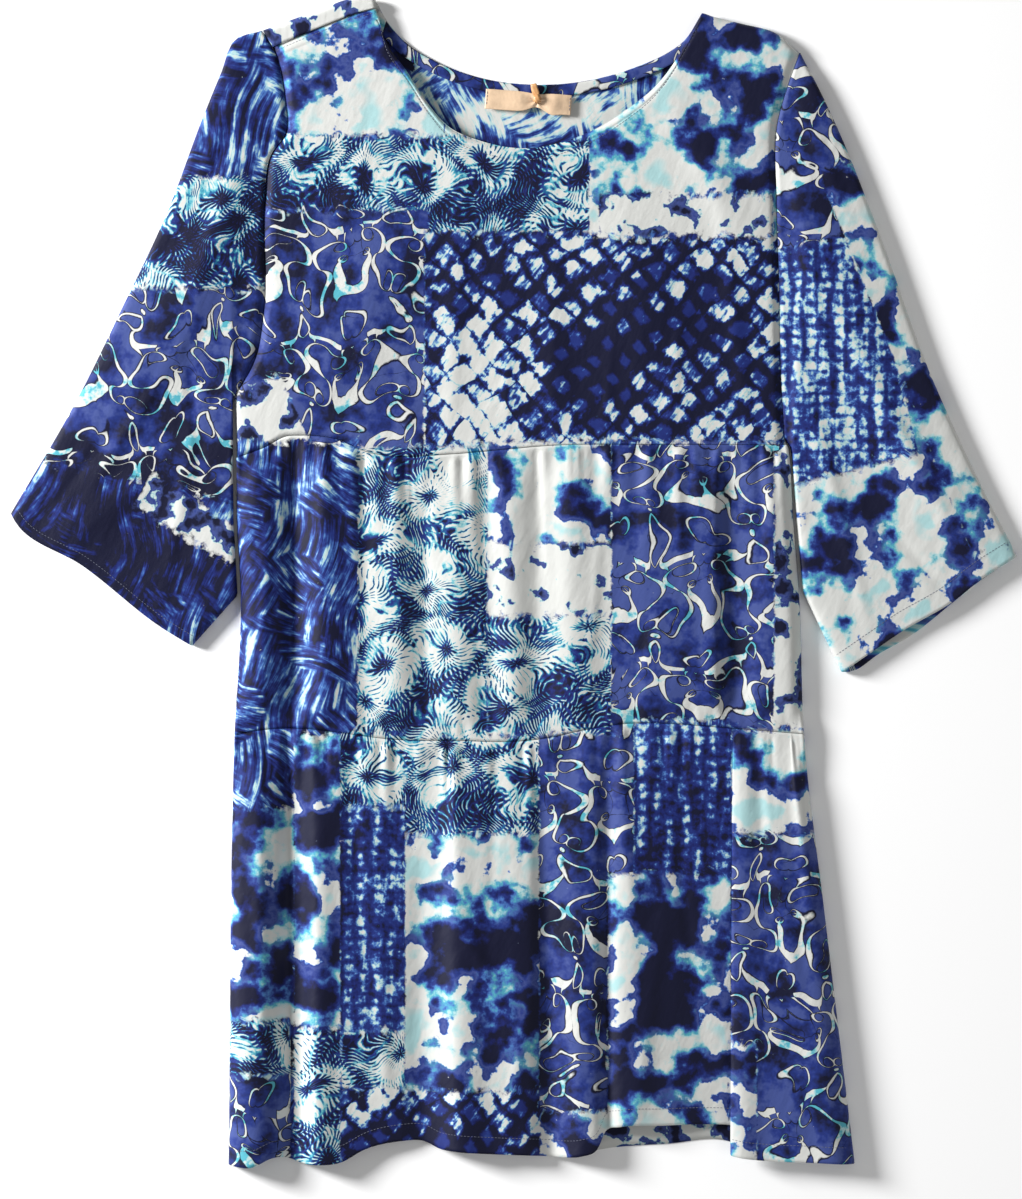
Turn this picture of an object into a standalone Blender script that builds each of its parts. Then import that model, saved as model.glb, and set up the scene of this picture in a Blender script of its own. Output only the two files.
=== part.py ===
"""Tiered swing top, laid flat on its back with the neck towards +Y.

Seen from above, +X is the wearer's left. Sizes and places are millimetres, turned into metres when a
mesh is made. Each panel is the mid-surface of its cloth, thickened to the wall. The back panels lie
flat. The front panels stand a few millimetres above them and roll down to them at the side seams.
"""

from collections import namedtuple

import bpy
import numpy as np

MM = 0.001

# Driving sizes
WALL = 1.5
HALF = WALL / 2
SEAM_GAP = 0.3
CORNER_RELIEF = 0.6
BACK_Z = HALF
RIM_Z = WALL + SEAM_GAP
BODICE_Z = 9.0
SEAM_Z = 8.6
SLEEVE_Z = 8.5
FACING_WIDTH = 9.0
FACING_WALL = 1.2
RIBBON_WALL = 1.0
COLUMN_STEP = 6.2

# Roll of a front panel at its edge: the share of the height reached at each of five lines
ROLL_CLOSED_INSET = np.array([HALF, HALF, 2.0, 4.6, 9.0])
ROLL_CLOSED_RISE = np.array([0.0, 0.45, 0.78, 0.95, 1.0])
ROLL_OPEN_INSET = np.array([SEAM_GAP / 2, 1.2, 3.4, 6.0, 10.0])
ARMHOLE_RISE = np.array([0.62, 0.63, 0.80, 0.95, 1.0])
NECK_RISE = np.array([0.80, 0.81, 0.91, 0.98, 1.0])
ROLL_LINES = len(ROLL_CLOSED_INSET)

# Edges of the pieces, as (x, y) from one end to the other
LEFT_ARMHOLE = ((-189, 414), (-181, 401), (-172, 363), (-171.5, 336), (-182, 321), (-187, 286),
                (-188, 204), (-195, 166), (-210, 139))
LEFT_SIDE = ((-210, 139), (-208.5, 93), (-208.5, 46), (-205.5, -8), (-210, -115), (-214.5, -436.5))
RIGHT_ARMHOLE = ((214.5, 397.5), (205, 371), (198, 346), (197, 286), (199, 220), (200, 163),
                 (203, 106.5))
RIGHT_SIDE = ((203, 106.5), (205.6, 102), (206.6, 96), (210, 46), (214.5, -13), (218, -115),
              (234, -253), (256, -436))
LEFT_SHOULDER_FOLD = ((-189, 414), (-153, 427), (-113, 438.8), (-104, 437.5))
LEFT_SHOULDER_SEAM = ((-181, 401), (-145, 416), (-113, 428), (-103.5, 430.5))
RIGHT_SHOULDER = ((141, 427), (169.5, 420), (196.5, 412.5), (214.5, 397.5))
FRONT_NECK = ((-103.5, 430.5), (-97, 407), (-81, 384), (-64.5, 359), (-48, 341), (-25, 331),
              (10, 325.5), (32, 329), (56, 337.5), (85, 355), (105, 371), (124, 396), (130, 407),
              (141, 427))
BACK_NECK = ((-104, 437.5), (-97, 424), (-82, 406), (-58, 391), (-25, 379), (12, 374), (53, 376.5),
             (94, 388), (115, 397.5), (127, 406), (141, 427))
UPPER_SEAM = ((-208.5, 93), (-187, 101), (-170, 109.5), (-160, 110), (-132, 107), (-108, 97),
              (-97, 95), (-46, 96), (-11, 99), (22, 102), (117, 103), (206, 103))
LOWER_SEAM = ((-210, -115), (-189, -111), (-157, -110), (-134, -112.5), (-91, -118), (-44, -119),
              (9, -119), (31, -116), (46, -112.5), (88, -106), (121, -106.5), (155, -109), (218, -114))
BACK_HEM = ((-214.5, -435), (-179, -427), (-130, -426), (-85, -415.5), (-55, -420), (5, -425),
            (60, -426), (73, -424), (115, -421), (161, -419), (184, -431), (214, -434), (256, -435))
LEFT_SLEEVE_TOP = ((-189, 414), (-209, 408), (-220.5, 382), (-232, 354), (-262, 275), (-295, 205),
                   (-329, 136), (-378, 52))
LEFT_SLEEVE_UNDER = ((-210.8, 138.7), (-210.6, 93), (-210.2, 46), (-207.2, -10), (-241, -48))
LEFT_CUFF = ((-378, 52), (-373, 44), (-324, 13), (-263, -34.5), (-241, -48))
RIGHT_SLEEVE_TOP = ((214.5, 397.5), (228, 373), (241, 346), (274, 264), (312, 159), (353, 69), (378, 20))
RIGHT_SLEEVE_UNDER = ((203.5, 106.3), (206.8, 101.3), (208.2, 94), (211.6, 46), (216.4, -7),
                      (245.5, -67.5))
RIGHT_CUFF = ((378, 20), (349, 1.5), (330, -13.5), (290, -37), (271, -50), (245.5, -67.5))
RIGHT_CUFF_BELOW = ((378, 20), (349, 0), (330, -15.5), (297, -42), (274, -55.5), (251, -70), (245, -70.5))
UNDERARM_LEFT_Y = 139
UNDERARM_RIGHT_Y = 106
# Where the armhole's corners lie, as shares of its length: body and sleeve share them
ARMHOLE_SHARES = (0, 0.053, 0.14, 0.225, 0.30, 0.39, 0.50, 0.63, 0.76, 0.885, 1)
SIDE_STATIONS = 2
# Columns of the back across the left shoulder, the neck and the right shoulder
BACK_COUNTS = (5, 14, 4)
# Angles round the turn of the back over the left shoulder, from the front side down to the back
SHOULDER_TURN = (180, 150, 120, 90, 60, 30)
# Where the neck falls steeply, as (x, half width): the front bodice has all its columns there
STEEP_NECK = ((-92, 20), (124, 24))
# The front bodice keeps this far from its sides with its inner columns
INNER_MARGIN = 14.0
# Lengths over which a side seam opens into the armhole, and a closed shoulder into the neck
LEFT_UNDERARM_BLEND = 8.0
RIGHT_UNDERARM_BLEND = 2.0
SHOULDER_BLEND = 12.0
# The share of the bodice's length from which its front comes to the seam's height
BODICE_SEAM_START = 0.86

# Folds of a front tier, left to right: where each lies at the seam above and at the lower edge, how
# high it stands at each, the lower edge's y, and how fast it spreads (1 evenly, 0.4 at once)
Fold = namedtuple("Fold", "name top_x low_x top_z low_z low_y spread", defaults=(0.0, 1.0))
MIDDLE_FOLDS = (
    Fold("left seam", -207.8, -209.3, RIM_Z, RIM_Z),
    Fold("left wall", -207.8, -209.3, 5.2, 5.2),
    Fold("left roll", -204.5, -206.0, 8.8, 9.2),
    Fold("side ridge", -189.0, -191.0, 12.0, 14.0),
    Fold("ridge falls", -175.0, -177.0, 9.5, 10.0),
    Fold("deep trough", -166.5, -167.0, 4.4, 3.4),
    Fold("trough foot", -161.5, -161.0, 5.4, 4.6),
    Fold("second ridge", -145.5, -146.0, 12.0, 13.5),
    Fold("shallow", -112.0, -110.0, 8.6, 9.0),
    Fold("third ridge", -87.0, -87.0, 11.0, 12.0),
    Fold("long trough", -70.5, -64.0, 8.2, 6.9),
    Fold("fourth ridge", -43.0, -41.0, 11.0, 12.0),
    Fold("middle trough", -20.0, -18.0, 7.9, 7.6),
    Fold("fifth ridge", -2.0, 0.0, 10.8, 11.6),
    Fold("narrow trough", 16.0, 17.0, 7.8, 7.2),
    Fold("sixth ridge", 41.0, 43.0, 11.0, 12.0),
    Fold("wide dip", 73.0, 74.0, 8.8, 8.4),
    Fold("seventh ridge", 108.0, 106.0, 11.0, 12.2),
    Fold("before the edge", 136.0, 139.0, 11.0, 12.0),
    Fold("lit edge", 149.5, 151.5, 12.0, 13.2),
    Fold("edge foot", 156.0, 158.5, 7.6, 6.9),
    Fold("side flat", 180.0, 186.0, 9.6, 10.4),
    Fold("right roll", 201.8, 213.8, 8.8, 9.2),
    Fold("right wall", 205.3, 217.3, 5.2, 5.2),
    Fold("right seam", 205.3, 217.3, RIM_Z, RIM_Z),
)
BOTTOM_FOLDS = (
    Fold("left seam", -209.3, -213.8, RIM_Z, RIM_Z, -436.5),
    Fold("left wall", -209.3, -213.8, 5.2, 6.4, -436.7),
    Fold("left roll", -206.0, -210.2, 9.2, 12.2, -437.2),
    Fold("side ridge", -191.0, -198.0, 13.0, 17.5, -438.0),
    Fold("ridge falls", -178.0, -180.0, 10.0, 12.0, -431.0),
    Fold("deep trough", -168.0, -168.5, 3.6, 3.3, -432.0),
    Fold("trough foot", -162.0, -162.0, 4.8, 4.4, -434.5),
    Fold("second ridge", -147.0, -149.0, 12.0, 15.5, -436.0),
    Fold("ridge's far side", -131.0, -130.0, 10.0, 12.0, -434.5),
    Fold("flat", -106.5, -112.0, 9.2, 9.8, -425.0),
    Fold("step down", -84.0, -85.0, 8.8, 7.4, -419.0),
    Fold("grey trough", -67.0, -68.0, 6.9, 4.4, -419.0),
    Fold("step up", -54.5, -55.5, 8.5, 9.0, -424.5),
    Fold("lit ridge", -46.0, -44.0, 11.8, 16.0, -426.0),
    Fold("plateau", -18.0, -17.0, 10.2, 13.4, -428.0),
    Fold("plateau's end", 10.0, 11.0, 9.6, 12.0, -429.2),
    Fold("dark trough", 22.0, 28.0, 6.9, 4.6, -430.6),
    Fold("trough's far side", 31.0, 38.0, 8.6, 9.0, -431.0),
    Fold("blue ridge", 46.0, 51.0, 11.5, 15.0, -429.5),
    Fold("ridge's edge", 61.0, 62.0, 11.2, 13.5, -425.0),
    Fold("edge foot", 68.0, 69.0, 8.4, 7.6, -411.0),
    Fold("white lobe", 78.0, 79.0, 10.6, 12.0, -408.0),
    Fold("white slope", 108.0, 112.0, 9.8, 9.6, -407.0),
    Fold("slope's foot", 138.0, 145.0, 9.0, 5.2, -406.5),
    Fold("under the fold", 155.0, 164.0, 8.6, 4.1, -407.5, 0.5),
    Fold("deepest line", 158.0, 178.0, 8.5, 4.1, -411.0, 0.5),
    Fold("inner turn", 160.5, 184.5, 8.6, 6.3, -414.5, 0.5),
    Fold("coming back", 162.5, 178.0, 8.8, 8.7, -418.0, 0.5),
    Fold("back to the edge", 164.0, 167.5, 9.2, 9.2, -425.0, 0.5),
    Fold("knife edge", 165.5, 162.2, 9.8, 11.4, -429.0, 0.5),
    Fold("over the fold", 169.0, 167.0, 10.4, 13.8, -430.3),
    Fold("side panel", 184.5, 187.0, 10.2, 12.8, -433.0),
    Fold("soft wave", 203.0, 218.0, 10.4, 14.5, -434.2),
    Fold("right roll", 213.8, 251.6, 9.0, 11.0, -435.8),
    Fold("right wall", 217.3, 255.3, 5.2, 6.2, -436.0),
    Fold("right seam", 217.3, 255.3, RIM_Z, RIM_Z, -436.0),
)

# Rows of a front tier and of a back tier, as shares of the way down
MIDDLE_ROWS = (0, 0.05, 0.12, 0.24, 0.45, 0.68, 0.88, 1)
BOTTOM_ROWS = (0, 0.04, 0.09, 0.17, 0.32, 0.55, 0.78, 1)
BACK_MIDDLE_ROWS = (0, 0.25, 0.5, 0.75, 1)
BACK_BOTTOM_ROWS = (0, 0.2, 0.4, 0.6, 0.8, 1)
# Shares of a tier's length over which its folds rise out of the seams above and below
TOP_BLEND = 0.16
LOW_BLEND = 0.14
# Heights above the rim over which a section joins the seam's height
RIM_BLEND = (0.5, 4.0)
# How far in from the side a bowed side seam pulls the section
BOW_REACH = 70.0

# Gathers under a seam: a ripple that dies away down the tier
GATHER_PITCH = 19.0
GATHER_HEIGHT = 1.1
GATHER_LENGTH = 38.0
GATHER_MARGIN = (8.0, 26.0)
GATHER_START = 0.03
# Gathers fade where the cloth at the seam is this crowded: width at the seam over length of section
CROWDED = (0.45, 0.8)

# Soft swells of the bodice and the sleeves: the middle of each, its half length and half width, the
# angle of its long side from +X in degrees, and its height
Swell = namedtuple("Swell", "x y half_length half_width angle height")
BODICE_SWELLS = (
    Swell(-110, 215, 70, 32, 62, 3.2),
    Swell(95, 210, 75, 36, 105, 3.0),
    Swell(-150, 140, 60, 12, 38, 2.0),
    Swell(-45, 200, 110, 9, 88, 1.3),
    Swell(30, 170, 80, 11, 92, 1.2),
    Swell(150, 300, 60, 14, 118, 1.8),
)
LEFT_SLEEVE_SWELLS = (
    Swell(-262, 190, 120, 22, 62, 3.0),
    Swell(-300, 60, 60, 14, 40, 2.0),
    Swell(-228, 250, 70, 9, 74, 1.6),
)
RIGHT_SLEEVE_SWELLS = (
    Swell(262, 180, 130, 24, 112, 3.0),
    Swell(320, 60, 60, 16, 128, 2.2),
    Swell(232, 90, 60, 9, 104, 1.6),
)

# Section of a sleeve, round from the flat underside at the outer edge and back: the distance in from
# the side seam's mid-surface, and the share of the height
SLEEVE_ROLL = ((5.8, 0.0), (1.7, 0.07), (0.0, 0.36), (0.4, 0.66), (2.4, 0.90), (6.8, 1.0))
# Rings of a sleeve, as shares of the way from the armhole to the cuff
SLEEVE_STATIONS = (0, 0.012, 0.03, 0.06, 0.12, 0.22, 0.34, 0.47, 0.6, 0.72, 0.86, 1)
# The share of a sleeve's length over which it keeps the armhole's bend, outside and at the underarm
ARMHOLE_REACH = 0.035
UNDERARM_REACH = 0.004
# The sleeve dips beside the armhole
GROOVE_DEPTH = 2.2
GROOVE_LENGTH = 16.0

# The facing inside the back neck: the shares of the neck that it spans, its columns, and its start
FACING_SPAN = (0.03, 0.97)
FACING_COLUMNS = 34
FACING_START = 0.5

# The ribbon label and its hanging loop, inside the back neck
LABEL_LEFT = (-21.5, 363.0)
LABEL_RIGHT = (43.0, 358.0)
LABEL_HEIGHT = 15.0
LABEL_Z = WALL + SEAM_GAP + FACING_WALL + SEAM_GAP + RIBBON_WALL / 2
KNOT_PLACE = (17.5, 362.5)
LABEL_COLUMNS = 13
KNOT_RADIUS = 2.9
KNOT_WIDTH = 1.15
KNOT_FLATNESS = 0.62
LOOP_RADIUS = 5.2
LOOP_THICKNESS = 0.9
LOOP_WIDTH = 0.62


def smoothstep(low, high, value):
    """0 below low, 1 above high, and a soft step between."""
    share = np.clip((value - low) / (high - low), 0, 1)
    return share * share * (3 - 2 * share)


def spline(at, values, where):
    """A cubic through the values, with each slope taken from the stretches on both sides."""
    at = np.asarray(at, float)
    values = np.asarray(values, float)
    gap = np.diff(at)[:, None]
    slope = np.diff(values, axis=0) / gap
    tangent = np.empty_like(values)
    tangent[0], tangent[-1] = slope[0], slope[-1]
    tangent[1:-1] = (slope[:-1] * gap[1:] + slope[1:] * gap[:-1]) / (gap[1:] + gap[:-1])
    i = np.clip(np.searchsorted(at, where, side="right") - 1, 0, len(at) - 2)
    t = ((where - at[i]) / gap[i, 0])[..., None]
    start, end = values[i], values[i + 1]
    leave, arrive = tangent[i] * gap[i], tangent[i + 1] * gap[i]
    square, cube = t * t, t * t * t
    return ((2 * cube - 3 * square + 1) * start + (cube - 2 * square + t) * leave
            + (3 * square - 2 * cube) * end + (cube - square) * arrive)


class Edge:
    """A smooth plan line through a few points, or several such lines end to end."""

    def __init__(self, *stretches):
        self.points = np.concatenate([self.sampled(np.array(points, float)) for points in stretches])
        steps = np.linalg.norm(np.diff(self.points, axis=0), axis=1)
        self.along = np.concatenate([[0], np.cumsum(steps)])
        self.length = self.along[-1]

    @staticmethod
    def sampled(points):
        along = np.concatenate([[0], np.cumsum(np.linalg.norm(np.diff(points, axis=0), axis=1))])
        return spline(along, points, np.linspace(0, along[-1], int(along[-1] / 2) + 2))

    def by_length(self, share):
        where = share * self.length
        return np.stack([np.interp(where, self.along, self.points[:, k]) for k in (0, 1)], axis=-1)

    def by_width(self, share):
        x = self.points[0, 0] + share * (self.points[-1, 0] - self.points[0, 0])
        return np.stack([x, self.y_at(x)], axis=-1)

    def y_at(self, x):
        return np.interp(x, self.points[:, 0], self.points[:, 1])

    def x_at(self, y):
        return np.interp(-y, -self.points[:, 1], self.points[:, 0])

    def cut(self, start_y, end_y):
        """The part of a line down the body between two heights."""
        y = self.points[:, 1]
        kept = self.points[(y < start_y - 0.5) & (y > end_y + 0.5)]
        ends = [[[self.x_at(level), level]] for level in (start_y, end_y)]
        return Edge.through(np.concatenate([ends[0], kept, ends[1]]))

    def moved_left(self, distance):
        """The straight stretches moved sideways, to the left of their own direction."""
        step = np.diff(self.points, axis=0)
        step /= np.linalg.norm(step, axis=1)[:, None]
        aside = np.stack([-step[:, 1], step[:, 0]], axis=1)
        before, after = np.vstack([aside[:1], aside]), np.vstack([aside, aside[-1:]])
        mitre = before + after
        mitre /= np.sum(mitre * before, axis=1)[:, None]
        return Edge.through(self.points + mitre * distance)

    @classmethod
    def through(cls, points):
        """Straight stretches between the points, with no smoothing."""
        edge = cls.__new__(cls)
        edge.points = np.asarray(points, float)
        steps = np.linalg.norm(np.diff(edge.points, axis=0), axis=1)
        edge.along = np.concatenate([[0], np.cumsum(steps)])
        edge.length = edge.along[-1]
        return edge


def armhole(points):
    """An armhole as the straight stretches that the body and the sleeve both follow."""
    return Edge.through(Edge(points).by_length(np.array(ARMHOLE_SHARES)))


class Rails:
    """The two sides of a bodice, with paired stations, so that a row runs from one to the other."""

    def __init__(self, left, right):
        self.left_points, self.right_points = np.array(left), np.array(right)
        lengths = [np.linalg.norm(np.diff(side, axis=0), axis=1)
                   for side in (self.left_points, self.right_points)]
        shares = [np.concatenate([[0], np.cumsum(one)]) / one.sum() for one in lengths]
        self.length = lengths[0].sum()
        self.rows = (shares[0] + shares[1]) / 2

    def on(self, points, share):
        return np.stack([np.interp(share, self.rows, points[:, k]) for k in (0, 1)], axis=-1)

    def left(self, share):
        return self.on(self.left_points, share)

    def right(self, share):
        return self.on(self.right_points, share)


def bodice_sides():
    """Stations down both sides of the back bodice: the armhole, then the side to the upper seam."""
    sides = []
    for hole, side, seam_end in ((LEFT_ARMHOLE, LEFT_SIDE, UPPER_SEAM[0]),
                                 (RIGHT_ARMHOLE, RIGHT_SIDE, UPPER_SEAM[-1])):
        low = Edge(side).cut(side[0][1], seam_end[1])
        down = np.arange(1, SIDE_STATIONS + 1) / SIDE_STATIONS
        sides.append(np.concatenate([armhole(hole).points, low.by_length(down)]))
    return sides


def between(top, bottom, left, right, u, v):
    """Plan points of a panel from its four edges, u across it and v down it."""
    u, v = np.broadcast_arrays(u, v)
    across, down = u[..., None], v[..., None]
    zero, one = np.zeros(1), np.ones(1)
    corners = ((1 - across) * (1 - down) * top(zero) + across * (1 - down) * top(one)
               + (1 - across) * down * bottom(zero) + across * down * bottom(one))
    return ((1 - down) * top(u) + down * bottom(u) + (1 - across) * left(v) + across * right(v)
            - corners)


def swells(table, x, y):
    """The height that a table's soft swells add at each place."""
    height = np.zeros_like(x)
    for swell in table:
        turn = np.radians(swell.angle)
        along = ((x - swell.x) * np.cos(turn) + (y - swell.y) * np.sin(turn)) / swell.half_length
        aside = ((y - swell.y) * np.cos(turn) - (x - swell.x) * np.sin(turn)) / swell.half_width
        height += swell.height * np.exp(-along * along - aside * aside)
    return height


def material(name, colour, roughness):
    made = bpy.data.materials.new(name)
    made.use_nodes = True
    shader = made.node_tree.nodes["Principled BSDF"]
    shader.inputs["Base Color"].default_value = (*colour, 1)
    shader.inputs["Roughness"].default_value = roughness
    shader.inputs["Metallic"].default_value = 0.0
    return made


def cloth(name, points, faces, colour, wall=WALL, roughness=0.8):
    """A piece of cloth: its mid-surface in millimetres, thickened evenly to both sides."""
    mesh = bpy.data.meshes.new(name)
    mesh.from_pydata((np.asarray(points, float) * MM).tolist(), [], faces)
    mesh.shade_smooth()
    piece = bpy.data.objects.new(name, mesh)
    bpy.context.scene.collection.objects.link(piece)
    mesh.materials.append(material(name + "_cloth", colour, roughness))
    thicken = piece.modifiers.new("Cloth wall", "SOLIDIFY")
    thicken.thickness = wall * MM
    thicken.offset = 0
    return piece


def grid_faces(rows, columns, first=0, ring=False):
    """Faces of a grid of points stored row by row; a ring joins its last column to its first."""
    faces = []
    for i in range(rows - 1):
        for j in range(columns if ring else columns - 1):
            after = (j + 1) % columns
            a, b = first + i * columns + j, first + i * columns + after
            faces.append((a, a + columns, b + columns, b))
    return faces


def side_edges():
    return Edge(LEFT_ARMHOLE, LEFT_SIDE), Edge(RIGHT_ARMHOLE, RIGHT_SIDE)


def roll_insets(openness):
    """Distances of the five roll lines from an edge, for each row or column's openness."""
    share = np.asarray(openness)[..., None]
    return ROLL_CLOSED_INSET + (ROLL_OPEN_INSET - ROLL_CLOSED_INSET) * share


def roll_rises(openness, open_rise):
    share = np.asarray(openness)[..., None]
    return ROLL_CLOSED_RISE + (open_rise - ROLL_CLOSED_RISE) * share


def steep_columns(x):
    """Every second column, and each one where the neck is steep."""
    near = np.any([np.abs(x - middle) < half for middle, half in STEEP_NECK], axis=0)
    second = np.arange(len(x)) % 2 == 0
    ends = (np.arange(len(x)) == 0) | (np.arange(len(x)) == len(x) - 1)
    return x[near | second | ends]


def upper_front_seam():
    """The seam that the front bodice and the gathered tier below it share, corner for corner."""
    _, where, top_x = tier_columns(MIDDLE_FOLDS)
    x = steep_columns(np.unique(np.round(top_x, 3)))
    x[0], x[-1] = UPPER_SEAM[0][0], UPPER_SEAM[-1][0]
    return Edge.through(np.stack([x, Edge(UPPER_SEAM).y_at(x)], axis=-1))


def front_bodice():
    """The front above the upper seam, from the forward shoulder seam and the neck down."""
    left, right = bodice_sides()
    left = np.concatenate([left[1:2], (left[1:2] + left[2:3]) / 2, left[2:]])
    rails = Rails(left, right)
    top = Edge(LEFT_SHOULDER_SEAM, FRONT_NECK, RIGHT_SHOULDER)
    seam = upper_front_seam()
    width = seam.points[-1, 0] - seam.points[0, 0]
    even = (seam.points[:, 0] - seam.points[0, 0]) / width
    inner = even[(even * width > INNER_MARGIN) & ((1 - even) * width > INNER_MARGIN)]
    down = np.concatenate([np.zeros(ROLL_LINES), rails.rows[1:]])
    left_y, right_y = rails.left(down)[:, 1], rails.right(down)[:, 1]
    left_open = smoothstep(UNDERARM_LEFT_Y - LEFT_UNDERARM_BLEND, UNDERARM_LEFT_Y, left_y)
    right_open = smoothstep(UNDERARM_RIGHT_Y - RIGHT_UNDERARM_BLEND, UNDERARM_RIGHT_Y, right_y)
    u = np.concatenate([roll_insets(left_open) / width, np.repeat(inner[None, :], len(down), axis=0),
                        1 - roll_insets(right_open)[:, ::-1] / width], axis=1)
    top_x = top.by_width(u[ROLL_LINES])[:, 0]
    top_open = 1 - smoothstep(0, SHOULDER_BLEND, top_x - RIGHT_SHOULDER[0][0])
    u[:ROLL_LINES, -2:] -= CORNER_RELIEF / width
    v = np.repeat(down[:, None], u.shape[1], axis=1)
    v[:ROLL_LINES] = roll_insets(top_open).T / rails.length
    v[-1] = 1 - SEAM_GAP / 2 / rails.length
    plan = between(top.by_width, seam.by_width, rails.left, rails.right, u, v)
    rise = np.ones_like(u)
    rise[:, :ROLL_LINES] *= roll_rises(left_open, ARMHOLE_RISE)
    rise[:, -ROLL_LINES:] *= roll_rises(right_open, ARMHOLE_RISE)[:, ::-1]
    rise[:ROLL_LINES] *= roll_rises(top_open, NECK_RISE).T
    height = BODICE_Z + swells(BODICE_SWELLS, plan[..., 0], plan[..., 1])
    height += (SEAM_Z - height) * smoothstep(BODICE_SEAM_START, 1, v)
    z = RIM_Z + (height - RIM_Z) * rise
    points = np.concatenate([plan, z[..., None]], axis=-1)
    return cloth("front_bodice", points.reshape(-1, 3), grid_faces(*z.shape), (0.10, 0.16, 0.42))


def tier_columns(folds):
    """Where a tier's folds and its columns lie along its section, and each column's x at the seam."""
    low = np.array([(row.low_x, row.low_z) for row in folds])
    reach = np.linalg.norm(np.diff(low, axis=0), axis=1)
    at = np.concatenate([[0], np.cumsum(reach)])
    counts = np.maximum(1, np.round(reach / COLUMN_STEP)).astype(int)
    stretches = [at[i] + reach[i] * np.arange(n) / n for i, n in enumerate(counts)]
    where = np.concatenate(stretches + [at[-1:]])
    top_x = spline(at, [[row.top_x] for row in folds], where)[:, 0]
    return at, where, top_x


def front_tier(name, folds, top_seam, low_seam, rows, colour):
    """A gathered front tier: its folds at each row, joined by a smooth section. A hem has no low seam."""
    fold = np.array([row[1:] for row in folds], float)
    top_x, low_x, top_z, low_z, low_y, spread = fold.T
    at, where, column_x = tier_columns(folds)
    left, right = side_edges()
    start_y = top_seam.y_at(column_x) - SEAM_GAP / 2
    if low_seam is None:
        end_y = spline(at, low_y[:, None], where)[:, 0]
    else:
        end_y = low_seam.y_at(spline(at, low_x[:, None], where)[:, 0]) + SEAM_GAP / 2
    edge_distance = np.minimum(where, at[-1] - where)
    ripple = gathers(where, at, top_x) * smoothstep(*GATHER_MARGIN, edge_distance)
    left_pull, right_pull = (1 - smoothstep(0, BOW_REACH, distance) for distance in (where, at[-1] - where))
    sections = []
    for v in np.array(rows, float):
        share = v ** spread
        x = top_x + (low_x - top_x) * share
        z = top_z + (low_z - top_z) * v
        rising = smoothstep(0, TOP_BLEND, v)
        if low_seam is not None:
            rising *= smoothstep(0, LOW_BLEND, 1 - v)
        near_rim = smoothstep(*RIM_BLEND, np.minimum(z, SEAM_Z) - RIM_Z)
        z = z + (SEAM_Z - z) * (1 - rising) * near_rim
        section = spline(at, np.stack([x, z], axis=1), where)
        y = start_y + (end_y - start_y) * v
        section[:, 0] += side_bow(left, y[0], x[0] - HALF) * left_pull
        section[:, 0] += side_bow(right, y[-1], x[-1] + HALF) * right_pull
        fading = np.exp(-v * (start_y - end_y) / GATHER_LENGTH) * smoothstep(0, GATHER_START, v)
        sections.append(np.stack([section[:, 0], y, section[:, 1] + ripple * fading], axis=1))
    points = np.array(sections)
    return cloth(name, points.reshape(-1, 3), grid_faces(*points.shape[:2]), colour)


def gathers(where, at, top_x):
    """Uneven small ripples across the tier, none where folds lie close together at the seam."""
    crowd = spline(at, np.gradient(top_x, at)[:, None], where)[:, 0]
    phase = 2 * np.pi * where / GATHER_PITCH
    wave = np.sin(phase + 1.3 * np.sin(phase * 0.31) + 0.8 * np.sin(phase * 0.17 + 1.0))
    return GATHER_HEIGHT * wave * smoothstep(*CROWDED, crowd)


def side_bow(side, y, straight_x):
    """How far the side seam stands off the straight line between a tier's ends."""
    return side.x_at(y) - straight_x


def back_columns():
    """The shares of the width at which every back panel has its columns."""
    stretches = (LEFT_SHOULDER_FOLD, BACK_NECK, RIGHT_SHOULDER)
    x = np.concatenate([Edge(stretch).by_length(np.arange(n) / n)[:, 0]
                        for stretch, n in zip(stretches, BACK_COUNTS)] + [[RIGHT_SHOULDER[-1][0]]])
    return (x - x[0]) / (x[-1] - x[0])


def back_bodice():
    """The back above the upper seam. It turns over the left shoulder to the forward seam."""
    rails = Rails(*bodice_sides())
    top, seam = Edge(LEFT_SHOULDER_FOLD, BACK_NECK, RIGHT_SHOULDER), Edge(UPPER_SEAM)
    width = top.points[-1, 0] - top.points[0, 0]
    inset = SEAM_GAP / 2 / width
    columns = np.clip(back_columns(), inset, 1 - inset)
    rows = rails.rows.copy()
    rows[-1] = 1 - SEAM_GAP / 2 / rails.length
    u, v = np.meshgrid(columns, rows)
    plan = between(top.by_width, seam.by_width, rails.left, rails.right, u, v)
    plan[-1] = seam.by_width(back_columns()) + np.array([0, SEAM_GAP / 2])
    turned = BACK_COUNTS[0] + 1
    radius = (SEAM_Z - BACK_Z) / 2
    fold = plan[0, :turned].copy()
    seam_line = Edge(LEFT_SHOULDER_SEAM).by_length(np.linspace(0, 1, turned))
    seam_line[0, 0] += SEAM_GAP
    fold[0, 0] += SEAM_GAP
    toward = seam_line - fold
    toward /= np.linalg.norm(toward, axis=1)[:, None]
    plan[0, :turned] = fold + toward * (radius + HALF)
    points = np.concatenate([plan, np.full(u.shape, BACK_Z)[..., None]], axis=-1)
    end = seam_line - toward * SEAM_GAP
    turn = [over_shoulder(plan[0, :turned] * (1 - share) + end * share, SEAM_Z) for share in (1, 0.5)]
    turn += [over_shoulder(plan[0, :turned] - toward * radius * np.sin(angle),
                           BACK_Z + radius * (1 - np.cos(angle)))
             for angle in np.radians(SHOULDER_TURN)]
    last = u.size + (len(turn) - 1) * turned
    joint = [(last + j, j, j + 1, last + j + 1) for j in range(turned - 1)]
    faces = grid_faces(*u.shape) + grid_faces(len(turn), turned, first=u.size) + joint
    points = np.concatenate([points.reshape(-1, 3)] + turn)
    return cloth("back_bodice", points, faces, (0.16, 0.24, 0.50))


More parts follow.
